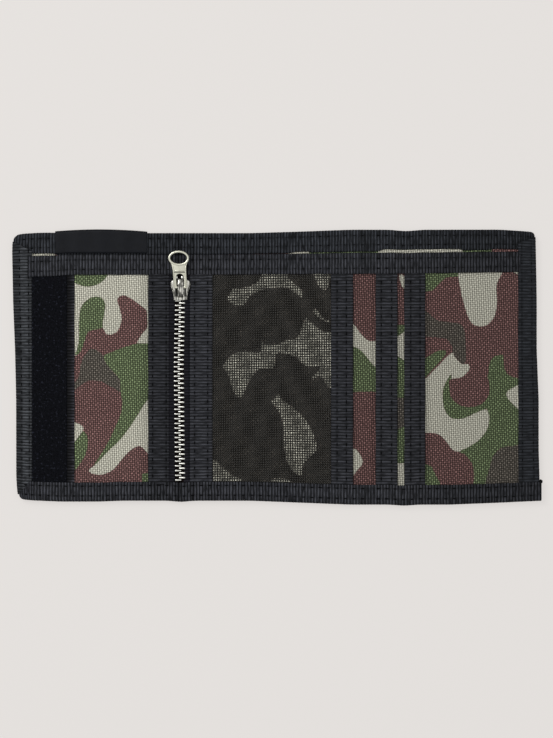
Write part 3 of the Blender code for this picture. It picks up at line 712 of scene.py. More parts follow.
frontPocketPrint = [
    ("green", [(64, 48), (64, 34), (69.5, 34.4), (72.1, 35), (74.1, 36.8), (76.2, 38.8), (78.2, 40.4),
               (81.3, 40.9), (84.1, 41.1), (85, 48)]),
    ("tan", [(84.6, 48), (84, 41.1), (84.4, 38.6), (85.7, 31.9), (87.7, 24.7), (89, 21.6), (90.6, 19.5),
             (92.6, 18.5), (96.7, 18.7), (98.8, 20.3), (100.6, 22.6), (101.9, 29.3), (101.6, 35.5),
             (102.2, 38.6), (104.7, 43), (107, 48)]),
    ("tan", [(107, 49), (108.8, 43.2), (111.4, 41.7), (116, 40), (116, 49)]),
    ("dark", [(64, 27), (69, 25.5), (73.6, 21.6), (76.2, 20.8), (82.9, 20), (85.4, 19), (86.7, 16.9),
              (87.4, 9.7), (87.2, 2), (85.7, 1.5), (83.9, 3), (81.3, 6.4), (81.3, 8.7), (79, 12.3),
              (76.7, 13.1), (69, 13.9), (64, 15)]),
    ("green", [(64, 2), (69, 4.2), (72.1, 6.1), (74.6, 7.4), (76.7, 7.7), (78.3, 7.4), (78, 5.6),
               (74.6, 1.5), (72.1, -1.1), (69, -4.5), (64, -7)]),
    ("tan", [(81.2, 6.5), (82.3, 4.6), (85.7, 1.2), (87.5, 1.5), (88.8, 1), (89.3, -0.1), (88.8, -1.6),
             (85.4, -4.7), (80.3, -5.8), (79.9, -12), (82, -20), (92, -20.5), (97, -19.4), (98.3, -23.3),
             (97.3, -28.4), (93.7, -33.3), (88.5, -36.7), (84.4, -38.7), (81.3, -37.7), (78.5, -34.1),
             (75.4, -31), (71.5, -30), (64, -29), (64, -8), (69, -5.2), (72.6, -1.6), (75.7, 1.5),
             (78.2, 4.1)]),
    ("green", [(79.8, -4.2), (81.1, -2.9), (80.6, -5.2), (79.7, -8.9), (80.8, -14), (84.4, -17.4),
               (89.5, -18.3), (94.7, -16.9), (98, -13), (98.3, -7.4), (97.5, -4.8), (97.8, -1),
               (99.8, 4.1), (104.5, 5.6), (104.7, 3.5), (105.8, -2.1), (107.6, -3.9), (112, -5.4),
               (118, -7), (118, -37), (112, -36.7), (104.5, -37.2), (100.3, -40.8), (98.5, -46.5),
               (96.7, -52.6), (96, -58), (91, -58), (91.3, -51.1), (90.6, -44.9), (87, -40),
               (84.4, -38.7), (88.5, -36.7), (93.7, -33.3), (97.3, -28.4), (98.3, -23.3), (97, -19.4),
               (95.7, -19.6), (92.1, -21), (87, -23.3), (84.4, -23.8), (80, -22.8), (77.2, -18.1),
               (76.7, -12), (77.3, -8.9)]),
    ("brown", [(80, -5.8), (85.4, -4.9), (88.8, -1.6), (89.5, 1), (93, 3), (97.8, -1), (97.5, -4.8),
               (98.3, -7.4), (98, -13), (94.7, -16.9), (89.5, -18.3), (84.4, -17.4), (80.8, -14),
               (79.7, -8.9)]),
    ("tan", [(116, -7), (111.2, -8.6), (107, -11), (106.1, -12.5), (106.8, -14.3), (108.6, -16.6),
             (111.4, -19.3), (116, -23)]),
    ("dark", [(117, -36.6), (107.6, -36.8), (104.5, -37.2), (100.3, -40.8), (98.5, -46.5), (96.7, -52.6),
              (96, -59), (104, -60), (117, -60), (117, -48)]),
    ("green", [(71, -45), (64, -44), (64, -60), (76, -60), (75.9, -54), (74.6, -51.1), (73.1, -48.5)]),
]

slitPrint = [
    ("tan", band(-122, -102.6, 46, 58)),
    ("brown", band(-102.6, 5.5, 46, 58)),
    ("tan", band(5.5, 15, 46, 58)),
    ("green", band(15, 47, 46, 58)),
    ("tan", band(47, 86, 46, 58)),
    ("green", band(86, 99.5, 46, 58)),
    ("brown", band(99.5, 121, 46, 58)),
]


print("cloth layers")

layers = {
    # name: upper face, thickness, lowest y, highest y
    "shell": (1.10, 0.35, -61.9, 61.5),
    "lining": (1.50, 0.30, -61.9, 61.5),
    "pocket_base": (2.50, 0.35, -61.9, 51.0),
}
sections = {
    # the CAD parts that each fold part stands for
    "A": ("left_panel", "left_spine"), "B": ("middle",), "C": ("right_spine",), "D": ("right_panel",),
}


def layerTop(name, base):
    # the layer's own height, lower across the left spine for the pocket base, with faint waves
    def top(x, y):
        dip = 0.36 * np.exp(-((x + 44.6) / 6.6) ** 6) if name == "pocket_base" else 0.0
        return base - dip + 0.03 * np.sin(x * 0.21) * np.sin(y * 0.17)
    return top


def baseShade(paint):
    # painted shade, near black, under the zip; duller right of the window; in it pale shapes get painted
    # light to stay bright under the mesh and the rest is darkened, following the tan print's distance
    def painted(x, y):
        marks = paint(x, y)
        window = 0.55 + 0.95 * np.clip(marks["tanPrint"] / 0.6 + 0.5, 0, 1)
        shade = np.where(x > 31.0, 0.8, window)
        marks["shade"] = np.where((x > -53.0) & (x < -37.5), 0.08, shade)
        return marks
    return painted


def layerPaint(name, part):
    if name == "shell":
        return stray(11)
    if name == "lining":
        return stray(12, slitPrint)
    if part == "B":
        return baseShade(printed(windowPrint))
    if part == "C":
        return baseShade(printed(windowPrint + stripPrint))
    return baseShade(printed(stripPrint))


for name, (height, thickness, low, high) in layers.items():
    for part, (first, second, start, end, left, right) in folds.items():
        xRange = (max(left, -120.6), min(right, 119.6))
        fine = 0.8 if name == "pocket_base" and part in "BC" else 1.3
        piece = clothSheet(f"{name}_{part}", xRange, (low, high), layerTop(name, height), thickness,
                           fine, layerPaint(name, part), cloth)
        enrol(piece, [f"{name}_{section}" for section in sections[part]], part=part)
        flat = ((xRange[1] - xRange[0]) * mm, (high - low) * mm)
        "bottom_binding_" + part

pockets = {
    # name: part, x range, upper face, puff, print, node
    "coin_pocket": ("A", (-93.9, -53.0), 3.02, 0.45, coinPrint, "coin_pocket_face"),
    "back_pocket_cloth": ("D", (50.2, 118.6), 3.0, 0.0, backPocketPrint, "back_card_pocket"),
    "front_pocket_cloth": ("D", (60.2, 118.6), 3.5, 0.22, frontPocketPrint, "front_card_pocket"),
}


pocketCloth = {"y": (-57.5, 47.5), "thickness": 0.32, "step": 0.75}


def pocketPuff(xRange, rise):
    # low pillow: rise times a flattened bump in x and in y, with shallow folds from the corners
    def puff(x, y):
        across = np.clip((x - xRange[0]) / (xRange[1] - xRange[0]), 0, 1)
        up = np.clip((y + 53.0) / 95.0, 0, 1)
        pillow = (1 - (2 * across - 1) ** 4) * (1 - (2 * up - 1) ** 6)
        ripple = 0.10 * np.sin(x * 0.33 + y * 0.05) * np.sin(y * 0.12 + 1.0)
        return rise * pillow + ripple * pillow
    return puff


def coinShade(x, y):
    # painted shade, darker towards the zip side, where the face turns down
    return 1.1 - 0.42 * np.clip((x + 66) / 9, 0, 1) ** 1.5 - 0.05 * np.sin(y * 0.09) ** 2


def pocketShade(left):
    # painted shade beside the tape on its left edge and under the band along its top
    beside = lambda x: 0.25 * np.clip((left + 2.2 - x) / 2.2, 0, 1)
    return lambda x, y: 0.82 - beside(x) - 0.2 * np.clip((y - 41) / 3, 0, 1)


for name, (part, xRange, height, rise, shapes, node) in pockets.items():
    shade = coinShade if name == "coin_pocket" else pocketShade(69 if name == "front_pocket_cloth" else 56)
    piece = clothSheet(name, xRange, pocketCloth["y"], lambda x, y: height + 0 * x, pocketCloth["thickness"],
                       pocketCloth["step"], printed(shapes, shade), cloth, pocketPuff(xRange, rise))
    enrol(piece, [node], part=part)
    (xRange[1] - xRange[0]) * mm
    "pocket_base_" + part


print("mesh window")

windowMesh = {
    "xRange": (-33.4, 29.4), "yRange": (-56.2, 45.2),
    "pitch": 1.12, "threadWidth": 0.265, "threadHeight": 0.13, "height": 2.86, "weave": 0.12,
}


def wovenThreads(values, lengthways):
    # flat-oval threads side by side; each rises and dips by weave times the sine of its crossings
    xLow, xHigh = values["xRange"]
    yLow, yHigh = values["yRange"]
    pitch = values["pitch"]
    spans = ((xLow, xHigh), (yLow, yHigh)) if lengthways else ((yLow, yHigh), (xLow, xHigh))
    lanes = np.arange(spans[0][0], spans[0][1], pitch) + pitch / 2
    steps = np.arange(spans[1][0], spans[1][1] + 0.01, pitch / 2)
    lane, along = np.meshgrid(lanes, steps, indexing="ij")
    parity = np.where(np.arange(len(lanes)) % 2, 1.0, -1.0)[:, None] * (1 if lengthways else -1)
    rise = values["weave"] * parity * np.sin((along - spans[1][0]) * np.pi / pitch)
    drift = 0.05 * np.sin(lane * 1.7 + along * 0.21) + 0.04 * np.sin(along * 0.9 + lane * 3.1)
    angle = np.radians([0, 90, 180, 270])
    wide = (values["threadWidth"] * np.cos(angle))[None, None]
    tall = (values["threadHeight"] * np.sin(angle))[None, None]
    sideways = (lane + drift)[..., None] + wide
    height = values["height"] + rise[..., None] + tall
    run = np.broadcast_to(along[..., None], sideways.shape)
    first, second = (sideways, run) if lengthways else (run, sideways)
    points = np.stack([first, second, height], -1)
    count, length = lane.shape
    ring = np.arange(count * length * 4).reshape(count, length, 4)
    after = np.roll(ring, -1, axis=2)
    faces = np.stack([ring[:, :-1], ring[:, 1:], after[:, 1:], after[:, :-1]], -1).reshape(-1, 4)
    faces = np.concatenate([faces, ring[:, 0, ::-1], ring[:, -1]])
    return settle(points).reshape(-1, 3), faces if lengthways else faces[:, ::-1]


warpPoints, warpFaces = wovenThreads(windowMesh, True)
weftPoints, weftFaces = wovenThreads(windowMesh, False)
meshPoints = np.concatenate([warpPoints, weftPoints])
meshFaces = np.concatenate([warpFaces, weftFaces + len(warpPoints)])
meshPiece = makePiece("window_mesh_weave", meshPoints, meshFaces, {"place": meshPoints}, meshFinish)
enrol(meshPiece, ["window_mesh"], "middle")


print("tapes")

ribRise = 0.09          # how far a tape's ribs stand out
rightRise = 0.42        # how far the tapes climb over the second card pocket
stitchRows = {part: [] for part in folds}


def addRow(part, way, place, span, height):
    stitchRows[part].append((way, place, span, height))


longTapes = {
    # name: edge, width, lower and upper leg, back leg, thickness, stitch rows, ends, finish
    "top_binding": dict(edge=62.15, width=-9.3, low=0.45, high=1.80, back=-9.0, thickness=0.3,
                        rows=(59.7, 55.6), ends=(-122.0, 120.9), finish=topTapeFinish),
    "pocket_tape": dict(edge=51.9, width=-9.3, low=1.75, high=3.50, back=-9.0, thickness=0.3,
                        rows=(49.5, 45.1), ends=(-115.0, 113.0), finish=tapeFinish),
    "bottom_binding": dict(edge=-62.5, width=8.8, low=0.20, high=3.62, back=8.6, thickness=0.4,
                           rows=(-60.0, -55.4), ends=(-121.4, 122.0), finish=tapeFinish),
}


def foldDip(x):
    # the bottom binding is pressed down beside the left fold, clear of the swung pull
    return 0.55 * np.exp(-((x + 53.4) / 3.3) ** 4)


def longLift(name, values):
    # the upper leg climbs over the taller right panel, and the inner edge follows the slit
    def lift(u, across, height):
        share = np.clip((height - values["low"]) / (values["high"] - values["low"]), 0, 1)
        climb = 0.0 if name == "top_binding" else rightRise * np.clip((u - 47) / 6, 0, 1)
        wave = 0.05 * np.sin(u * 0.23) + 0.04 * np.sin(u * 0.071 + 1.0)
        if name == "bottom_binding":
            climb = climb - foldDip(u)
        return share * (climb + wave)
    return lift


slitEdge = ([-114, -103, -101, -59, 6, 9, 14, 17, 46.5, 50, 84, 86.5, 98, 101, 110, 113],
            [-0.3, -0.1, 0.8, 0.8, 0.5, -0.1, -0.1, 0.4, 0.3, -0.9, -0.9, -0.1, -0.1, -0.7, -0.7, -0.2])


def topEdge(x, y, z):
    # the inner edge is drawn up or let down along the slit; both outer corners are rounded:
    # drop = r - sqrt(r squared - (r - d) squared), d being the distance from the end
    share = np.clip((56.5 - y) / 3.5, 0, 1) * (z > 1.2)
    y = y - np.interp(x, *slitEdge) * share
    for gap, radius in ((x + 122.0, 3.3), (119.5 - x, 1.9)):
        inside = radius - np.clip(gap, 0, radius)
        y = y - (radius - np.sqrt(radius ** 2 - inside ** 2)) * np.clip((y - 56.5) / 4.5, 0, 1)
    return x, y, z


def bottomEdge(x, y, z):
    # the same rounding on the bottom binding's left corner
    radius = 2.2
    inside = radius - np.clip(x + 119.0, 0, radius)
    drop = (radius - np.sqrt(radius ** 2 - inside ** 2)) * np.clip((-57.0 - y) / 4.0, 0, 1)
    return x, y + drop, z


def creaseShade(u, across):
    # soft bands of painted shade where the tapes turn at the folds, a duller right-hand end
    folded = 0.62 * np.exp(-((u + 45.2) / 1.3) ** 2) + 0.5 * np.exp(-((u + 38.7) / 0.9) ** 2)
    folded = folded + 0.3 * np.exp(-((u - 41.4) / 1.2) ** 2) + 0.25 * np.exp(-((u + 54.5) / 5) ** 4)
    return (1 - np.clip(folded, 0, 0.8)) * (1 - 0.28 * np.clip((u - 50) / 40, 0, 1))


def leftShade(u, across):
    # painted shade on the turned edge, palest along the middle
    return np.interp(across, [-119.6, -118.6, -114.9, -114.3], [0.62, 1.12, 1.12, 0.85])


def cornerSkew(name):
    # a tape's end runs back by a share of the distance in from its edge, fading over 12 mm
    def skew(u, across):
        if name != "bottom_binding":
            return 0 * u
        return 0.95 * np.clip(across + 61.0, 0, 9) * np.clip(1 - (u + 121.4) / 12, 0, 1) ** 2
    return skew


for name, values in longTapes.items():
    section = foldSection(values["edge"], values["width"], values["low"], values["high"], values["back"])
    grooves = [runsTo(section, place) for place in values["rows"]]
    for part, (first, second, start, end, left, right) in folds.items():
        span = (max(left, values["ends"][0]), min(right, values["ends"][1]))
        lift = longLift(name, values)
        piece = ribbedStrip(f"{name}_{part}", "x", span, section, values["thickness"], ribRise,
                            values["finish"], grooves, cornerSkew(name), lift, creaseShade)
        if name == "top_binding":
            nudge(piece, topEdge)
        if name == "bottom_binding":
            nudge(piece, bottomEdge)
        enrol(piece, [f"{name}_{body}" for body in sections[part]], part=part)
        top = values["high"] + values["thickness"] / 2 - 0.06
        for place in values["rows"]:
            rowSpan = (max(span[0] + 0.5, -119.0), span[1])
            climb = rightRise if name != "top_binding" and part == "D" else 0.0
            addRow(part, "x", place, rowSpan, top + climb)


def leftMitre(u, across):
    # the left binding's top end is cut back towards the inside, under the top binding's turn
    return -0.55 * np.clip(across + 122.05, 0, 9) * np.clip((u - 47) / 12, 0, 1) ** 2


def rightMitre(u, across):
    # the same cut on the right binding's top end
    return -0.55 * np.clip(121.0 - across, 0, 9.5) * np.clip((u - 50) / 12, 0, 1) ** 2


sideTapes = {
    "left_binding": dict(part="A", edge=-122.05, width=9.1, low=0.20, high=2.95, back=8.0,
                         rows=(-118.9, -114.7), span=(-60.4, 59.3), finish=leftTapeFinish, skew=leftMitre),
    "right_binding": dict(part="D", edge=121.0, width=-9.3, low=0.20, high=3.85, back=-9.0,
                          rows=(118.6, 113.6), span=(-60.0, 59.9), finish=rightTapeFinish, skew=rightMitre),
}

for name, values in sideTapes.items():
    section = foldSection(values["edge"], values["width"], values["low"], values["high"], values["back"])
    grooves = [runsTo(section, place) for place in values["rows"]]
    piece = ribbedStrip(name + "_tape", "y", values["span"], section, 0.4, ribRise, values["finish"],
                        grooves, values["skew"], None, leftShade if name == "left_binding" else None)
    enrol(piece, [name], part=values["part"])
    for place in values["rows"]:
        addRow(values["part"], "y", place, (-53.0, 57.0), values["high"] + 0.14)

flatTapes = {
    # name: part, x range, height, stitch rows
    "coin_pocket_tape": ("A", (-59.3, -49.6), 3.42, (-57.2, -51.0)),
    "window_left_tape": ("B", (-40.1, -29.6), 3.35, (-37.8, -31.8)),
    "window_right_tape": ("C", (25.2, 35.4), 3.35, (28.0, 32.3)),
    "back_pocket_tape": ("D", (45.8, 55.9), 3.35, (48.4, 53.2)),
    "front_pocket_tape": ("D", (59.0, 68.7), 3.85, (62.0, 66.3)),
}


def tuckUnder(u, across, height):
    # both ends dip under the bands that cross them
    near = np.minimum(u + 55.0, 44.6 - u)
    return -0.42 * np.clip(1 - near / 2.2, 0, 1)


def uprightShade(u, across):
    # the left window tape is the palest, the tapes by the zip and the cards are duller
    return np.interp(across, [-60, -50, -40, -30, 25, 36, 46, 56, 59, 69],
                     [0.9, 0.78, 1.12, 1.12, 1.0, 0.98, 0.98, 0.98, 0.92, 0.86])


for name, (part, (left, right), height, rows) in flatTapes.items():
    section = flatSection(left, right, height)
    travelled = [place - left for place in rows]
    piece = ribbedStrip(name + "_ribs", "y", (-55.0, 44.6), section, 0.34, ribRise, uprightFinish,
                        travelled, None, tuckUnder, uprightShade)
    enrol(piece, [name], part=part)
    for place in rows:
        addRow(part, "y", place, (-53.0, 42.5), height + 0.2)


print("stitching")

stitch = {"pitch": 3.9, "length": 1.9, "radius": 0.25, "dip": 0.12, "sides": 4, "rings": 5}


def stitchShapes(rows):
    # each stitch is a short thread: its radius falls towards both ends, and the ends dip
    t = np.linspace(-1, 1, stitch["rings"])
    swell = np.sqrt(np.clip(1.03 - t ** 2, 0.02, 1)) * stitch["radius"]
    angle = np.linspace(0, 2 * np.pi, stitch["sides"], endpoint=False)
    ring = np.arange(stitch["rings"] * stitch["sides"]).reshape(stitch["rings"], stitch["sides"])
    shape = np.concatenate([gridFaces(ring, closed=True), ring[:1], ring[-1:, ::-1]])
    points, faces, base = [], [], 0
    for way, place, span, height in rows:
        centres = np.arange(span[0] + 2.0, span[1] - 1.5, stitch["pitch"])
        along = centres[:, None, None] + (t * stitch["length"] / 2)[None, :, None] + 0 * angle[None, None]
        aside = place + (swell[:, None] * np.cos(angle))[None] + 0 * along
        rise = height - stitch["dip"] * (t ** 4)[None, :, None] + (swell[:, None] * np.sin(angle))[None]
        rise = rise + 0 * along
        if way == "x" and place < -50:
            rise = rise - foldDip(along)
        order = [along, aside, rise] if way == "x" else [aside, along, rise]
        turned = shape if way == "x" else shape[:, ::-1]
        points.append(settle(np.stack(order, -1)).reshape(-1, 3))
        faces.append(repeatFaces(turned, ring.size, np.arange(base, base + len(centres))))
        base += len(centres)
    return np.concatenate(points), np.concatenate(faces)


for part, rows in stitchRows.items():
    points, faces = stitchShapes(rows)
    piece = makePiece(f"stitching_{part}", points, faces, {"place": points}, sewingFinish)
    enrol(piece, part=part)


print("label and fastening strips")

label = {"span": (-102.4, -59.8), "section": (63.35, -10.6, 0.1, 2.3, -12.6), "thickness": 0.22}


def labelLift(u, across, height):
    # the upper leg bows up a little at mid-span and pulls flat at both ends
    middle = 1 - ((u + 81.1) / 21.3) ** 2
    return np.clip((height - 1.2) / 1.1, 0, 1) * (0.25 * middle + 0.05 * np.sin(u * 0.6))


def labelSkew(u, across):
    # the woven ends are not quite straight: a low sine across the tab
    return 0.12 * np.sin(across * 0.8)


labelPiece = ribbedStrip("satin_label", "x", label["span"], foldSection(*label["section"]),
                         label["thickness"], 0.0, satin, (), labelSkew, labelLift)
nudge(labelPiece, lambda x, y, z: (x, y + 0.5 * (1 - 1.9 * ((x + 81) / 21.3) ** 2) * (y > 57), z))
enrol(labelPiece, ["label_tab"], "left_panel")

strip = {
    "x": (-113.9, -96.4), "y": (-54.4, 43.6), "height": 3.05, "thickness": 0.4, "step": 1.2,
    "selvedge": (-96.8, -93.3), "selvedgeHeight": 3.32,
}


def plainMarks(x, y):
    return {"shade": np.ones(x.shape), "groove": np.zeros(x.shape)}


hookBase = clothSheet("hook_strip_base", strip["x"], strip["y"], lambda x, y: strip["height"] + 0 * x,
                      strip["thickness"], strip["step"], plainMarks, hookFinish)
# the selvedge's shade rule paints shade, darkest beside the pile and brightest at its outer edge
selvedge = ribbedStrip("hook_strip_selvedge", "y", strip["y"],
                       flatSection(*strip["selvedge"], strip["selvedgeHeight"], 0.05), 0.3, 0.08,
                       ribFinish("selvedge", (34, 34, 38)), (), None, None,
                       lambda u, across: np.interp(across, [-96.6, -95.0, -93.5], [0.2, 0.5, 1.3]))


def fibreField(xRange, yRange, pile):
    # a thread follows the pile's path, turned by its own random angle, at each place of a jittered grid;
    # four sides, radius thinning to 0.6 at the end
    draw = np.random.default_rng(pile["seed"])
    pitch = pile["pitch"]
    gx, gy = np.meshgrid(np.arange(*xRange, pitch), np.arange(*yRange, pitch), indexing="ij")
    count = gx.size
    gx = gx.ravel() + draw.uniform(-0.35, 0.35, count) * pitch
    gy = gy.ravel() + draw.uniform(-0.35, 0.35, count) * pitch
    turn = draw.uniform(0, 2 * np.pi, count)
    size = draw.uniform(0.75, 1.1, count)
    out, up = (np.asarray(values, float) for values in pile["path"])
    steps = len(out)
    slope = np.stack([np.gradient(out), np.gradient(up)], -1)
    slope /= np.linalg.norm(slope, axis=1)[:, None]
    thin = pile["radius"] * np.linspace(1, 0.6, steps)
    angle = np.radians([45, 135, 225, 315])
    forward = out[:, None] - slope[:, 1:] * thin[:, None] * np.cos(angle)
    raised = up[:, None] + slope[:, :1] * thin[:, None] * np.cos(angle)
    aside = thin[:, None] * np.sin(angle) + 0 * forward
    gx, gy, turn, scale = (values[:, None, None] for values in (gx, gy, turn, size))
    x = gx + (forward * np.cos(turn) - aside * np.sin(turn)) * scale
    y = gy + (forward * np.sin(turn) + aside * np.cos(turn)) * scale
    z = raised * scale
    points = settle(np.stack([x, y, z], -1)).reshape(-1, 3)
    ring = np.arange(steps * 4).reshape(steps, 4)
    shape = np.concatenate([gridFaces(ring, closed=True), ring[:1], ring[-1:, ::-1]])
    return points, repeatFaces(shape, ring.size, np.arange(count))


hookPile = {
    # path: distance out, then height, from the root of a fibre
    "path": ([0.0, 0.02, 0.12, 0.32, 0.46], [0.0, 0.34, 0.60, 0.66, 0.50]),
    "x": (-113.2, -96.9), "y": (-54.0, 43.4), "pitch": 0.72, "radius": 0.10, "seed": 3,
}
points, faces = fibreField(hookPile["x"], hookPile["y"], hookPile)
points = points + np.array([0, 0, strip["height"] - 0.05])
hooks = makePiece("hook_strip_pile", points, faces, {"place": points}, hookFinish)
for piece, nodes in ((hookBase, []), (selvedge, []), (hooks, ["hook_strip"])):
    enrol(piece, nodes, "left_panel")

loopLow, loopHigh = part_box("loop_strip")
loopX = (loopLow.x / mm, loopHigh.x / mm)
loopY = (loopLow.y / mm, loopHigh.y / mm)
loopPile = {
    "path": ([0.0, 0.12, 0.36, 0.60, 0.72], [0.0, 0.26, 0.36, 0.26, 0.0]),
    "pitch": 0.85, "radius": 0.09, "seed": 5, "top": 0.72, "thickness": 0.3, "root": 0.46,
}
loopBase = clothSheet("loop_strip_base", loopX, loopY, lambda x, y: loopPile["top"] + 0 * x,
                      loopPile["thickness"], strip["step"], plainMarks, loopFinish)
points, faces = fibreField((loopX[0] + 0.6, loopX[1] - 0.6), (loopY[0] + 0.5, loopY[1] - 0.5), loopPile)
points = points * np.array([1, 1, -1]) + np.array([0, 0, loopPile["root"]])
loops = makePiece("loop_strip_pile", points, faces[:, ::-1], {"place": points}, loopFinish)
for piece, nodes in ((loopBase, []), (loops, ["loop_strip"])):
    enrol(piece, nodes, "right_panel")


print("zip")

zipLine = {"centre": -44.9, "top": 38.4, "bottom": -53.2, "pitch": 2.18, "low": 2.78, "high": 3.86}


def chainBow(y):
    # the sewn chain leans a little: left at mid-length, right at the foot
    return np.interp(y, [-53, -30, 0, 31, 45], [0.42, 0.1, -0.25, 0.35, 0.45])


def toothRow(side):
    # one tooth is a bar from the cord to past the middle: width and height along it follow a
    # waist and a head; its section is a rounded rectangle, |c|^p + |s|^p with p near 4
    reach = np.array([2.42, 2.36, 1.9, 0.9, 0.35, -0.25, -0.52, -0.58])
    wide = np.array([0.26, 0.40, 0.43, 0.37, 0.32, 0.38, 0.30, 0.14])
    tall = np.array([0.30, 0.50, 0.54, 0.50, 0.40, 0.38, 0.30, 0.14])
    angle = np.radians(np.arange(0, 360, 45) + 22.5)
    square = lambda values: np.sign(values) * np.abs(values) ** 0.5
    first = zipLine["bottom"] + 1.0 + (zipLine["pitch"] / 2 if side > 0 else 0)
    ys = np.arange(first, zipLine["top"], zipLine["pitch"])
    middle = (zipLine["low"] + zipLine["high"]) / 2
    across = side * reach[:, None] + 0 * angle
    along = wide[:, None] * square(np.cos(angle))
    height = tall[:, None] * square(np.sin(angle))
    x = zipLine["centre"] + across[None] + chainBow(ys)[:, None, None]
    points = np.stack([x, ys[:, None, None] + along[None], middle + height[None] + 0 * x], -1)
    ring = np.arange(64).reshape(8, 8)
    quads = gridFaces(ring, closed=True)
    ends = []
    for row in (ring[0], ring[-1][::-1]):
        ends += [row[[0, 1, 2, 7]], row[[2, 3, 6, 7]], row[[3, 4, 5, 6]]]
    shape = np.concatenate([quads, np.array(ends)])
    return points.reshape(-1, 3), repeatFaces(shape, ring.size, np.arange(len(ys)))


for side, name in ((-1, "left"), (1, "right")):
    points, faces = toothRow(side)
    teeth = makePiece(f"zip_teeth_{name}_row", points, faces, {}, teethNickel)
    enrol(teeth, [f"zip_teeth_{name}"], "left_spine")

zipTapes = {
    # side: part, x range, place of the groove across it
    "left": ("A", (-53.4, -46.9), 3.2),
    "right": ("B", (-42.9, -37.2), 2.9),
}
zipCloth = {
    "height": 3.28, "thickness": 0.26, "ribRise": 0.05, "span": (-55.2, 44.8),
    "flatHalf": 4.6, "tuck": 0.42,
}


def zipTapeLift(u, across, height):
    # flat beside the teeth, dipping under the tape sewn over its outer edge
    outside = np.clip(np.abs(across - zipLine["centre"]) - zipCloth["flatHalf"], 0, 1)
    return -zipCloth["tuck"] * outside ** 0.5 + 0.05 * np.sin(u * 0.35)


for side, (part, (left, right), groove) in zipTapes.items():
    section = flatSection(left, right, zipCloth["height"], 0.0)
    piece = ribbedStrip(f"zip_tape_{side}_cloth", "y", zipCloth["span"], section, zipCloth["thickness"],
                        zipCloth["ribRise"], zipTapeFinish, (groove,), None, zipTapeLift)
    enrol(piece, [f"zip_tape_{side}"], part=part)


def outlineSolid(loops, low, high, bevel):
    # flat outlines, holes included, given thickness and a round bevel, as mesh data
    curve = bpy.data.curves.new("outline", "CURVE")
    curve.dimensions = "2D"
    curve.fill_mode = "BOTH"
    curve.extrude = ((high - low) / 2 - bevel) * mm
    curve.bevel_depth = bevel * mm
    curve.bevel_resolution = 3
    curve.offset = -bevel * mm
    for loop in loops:
        spline = curve.splines.new("POLY")
        spline.points.add(len(loop) - 1)
        flat = np.column_stack([np.asarray(loop, float) * mm, np.zeros(len(loop)), np.ones(len(loop))])
        spline.points.foreach_set("co", flat.ravel())
        spline.use_cyclic_u = True
    holder = addObject("outline", curve)
    bpy.context.view_layer.update()
    mesh = bpy.data.meshes.new_from_object(holder.evaluated_get(bpy.context.evaluated_depsgraph_get()))
    bpy.data.objects.remove(holder)
    mesh.transform(Matrix.Translation((0, 0, (low + high) / 2 * mm)))
    return mesh


def cappedTube(points):
    # mesh from rings of points, one row of the grid each, with a flat face over both end rings
    index = np.arange(points[..., 0].size).reshape(points.shape[:2])
    faces = gridFaces(index, closed=True).tolist() + [index[0].tolist(), index[-1][::-1].tolist()]
    mesh = bpy.data.meshes.new("tube")
    mesh.from_pydata((points.reshape(-1, 3) * mm).tolist(), [], faces)
    return mesh


def joinMeshes(name, meshes, finish):
    # one object from several closed shells, seams merged and normals turned out
    shape = bmesh.new()
    for mesh in meshes:
        shape.from_mesh(mesh)
        bpy.data.meshes.remove(mesh)
    bmesh.ops.remove_doubles(shape, verts=shape.verts[:], dist=2e-6)
    bmesh.ops.recalc_face_normals(shape, faces=shape.faces[:])
    whole = bpy.data.meshes.new(name)
    shape.to_mesh(whole)
    shape.free()
    whole.shade_smooth()
    whole.set_sharp_from_angle(angle=radians(38))
    whole.materials.append(finish)
    return addObject(name, whole)


def arc(centre, radii, start, stop, steps):
    # points on part of an ellipse, angles in degrees
    turn = np.radians(np.linspace(start, stop, steps + 1))
    return np.column_stack([centre[0] + radii[0] * np.cos(turn), centre[1] + radii[1] * np.sin(turn)])


def sweptBar(path, section):
    # a closed section (sideways, outwards) carried along a path in the y-z plane, capped at both ends
    path, section = np.asarray(path, float), np.asarray(section, float)
    slope = np.gradient(path, axis=0)
    slope /= np.linalg.norm(slope, axis=1)[:, None]
    normal = np.stack([-slope[:, 1], slope[:, 0]], -1)
    ring = path[:, None] + normal[:, None] * section[None, :, 1:]
    x = zipLine["centre"] + np.broadcast_to(section[:, 0], ring.shape[:2])
    return cappedTube(np.stack([x, ring[..., 0], ring[..., 1]], -1))


slider = {
    "top": 40.2, "foot": 30.9, "shoulder": 4.55, "footHalf": 3.15,
    "plate": (4.02, 4.62), "base": (2.28, 2.62), "lipRadius": 0.42, "lipHeight": 4.46, "aside": 0.6,
}


def sliderOutline(inset=0.0):
    # two round shoulders with a notch between them, narrowing to the foot; mirrored from the right side
    shoulder, top = slider["shoulder"] - inset, slider["top"] - inset
    half, foot = slider["footHalf"] - inset, slider["foot"] + inset
    right = arc((shoulder - 1.8, top - 1.8), (1.8, 1.8), 80, 0, 5).tolist()
    right += [(shoulder, top - 3.2), (shoulder - 0.25, top - 4.2), (half + 0.45, top - 5.8)]
    right += [(half + 0.1, top - 7.2), (half, foot)]
    middle = [(0.0, top - 1.1)]
    return np.array([(-x, y) for x, y in reversed(right)] + middle + right)[::-1]


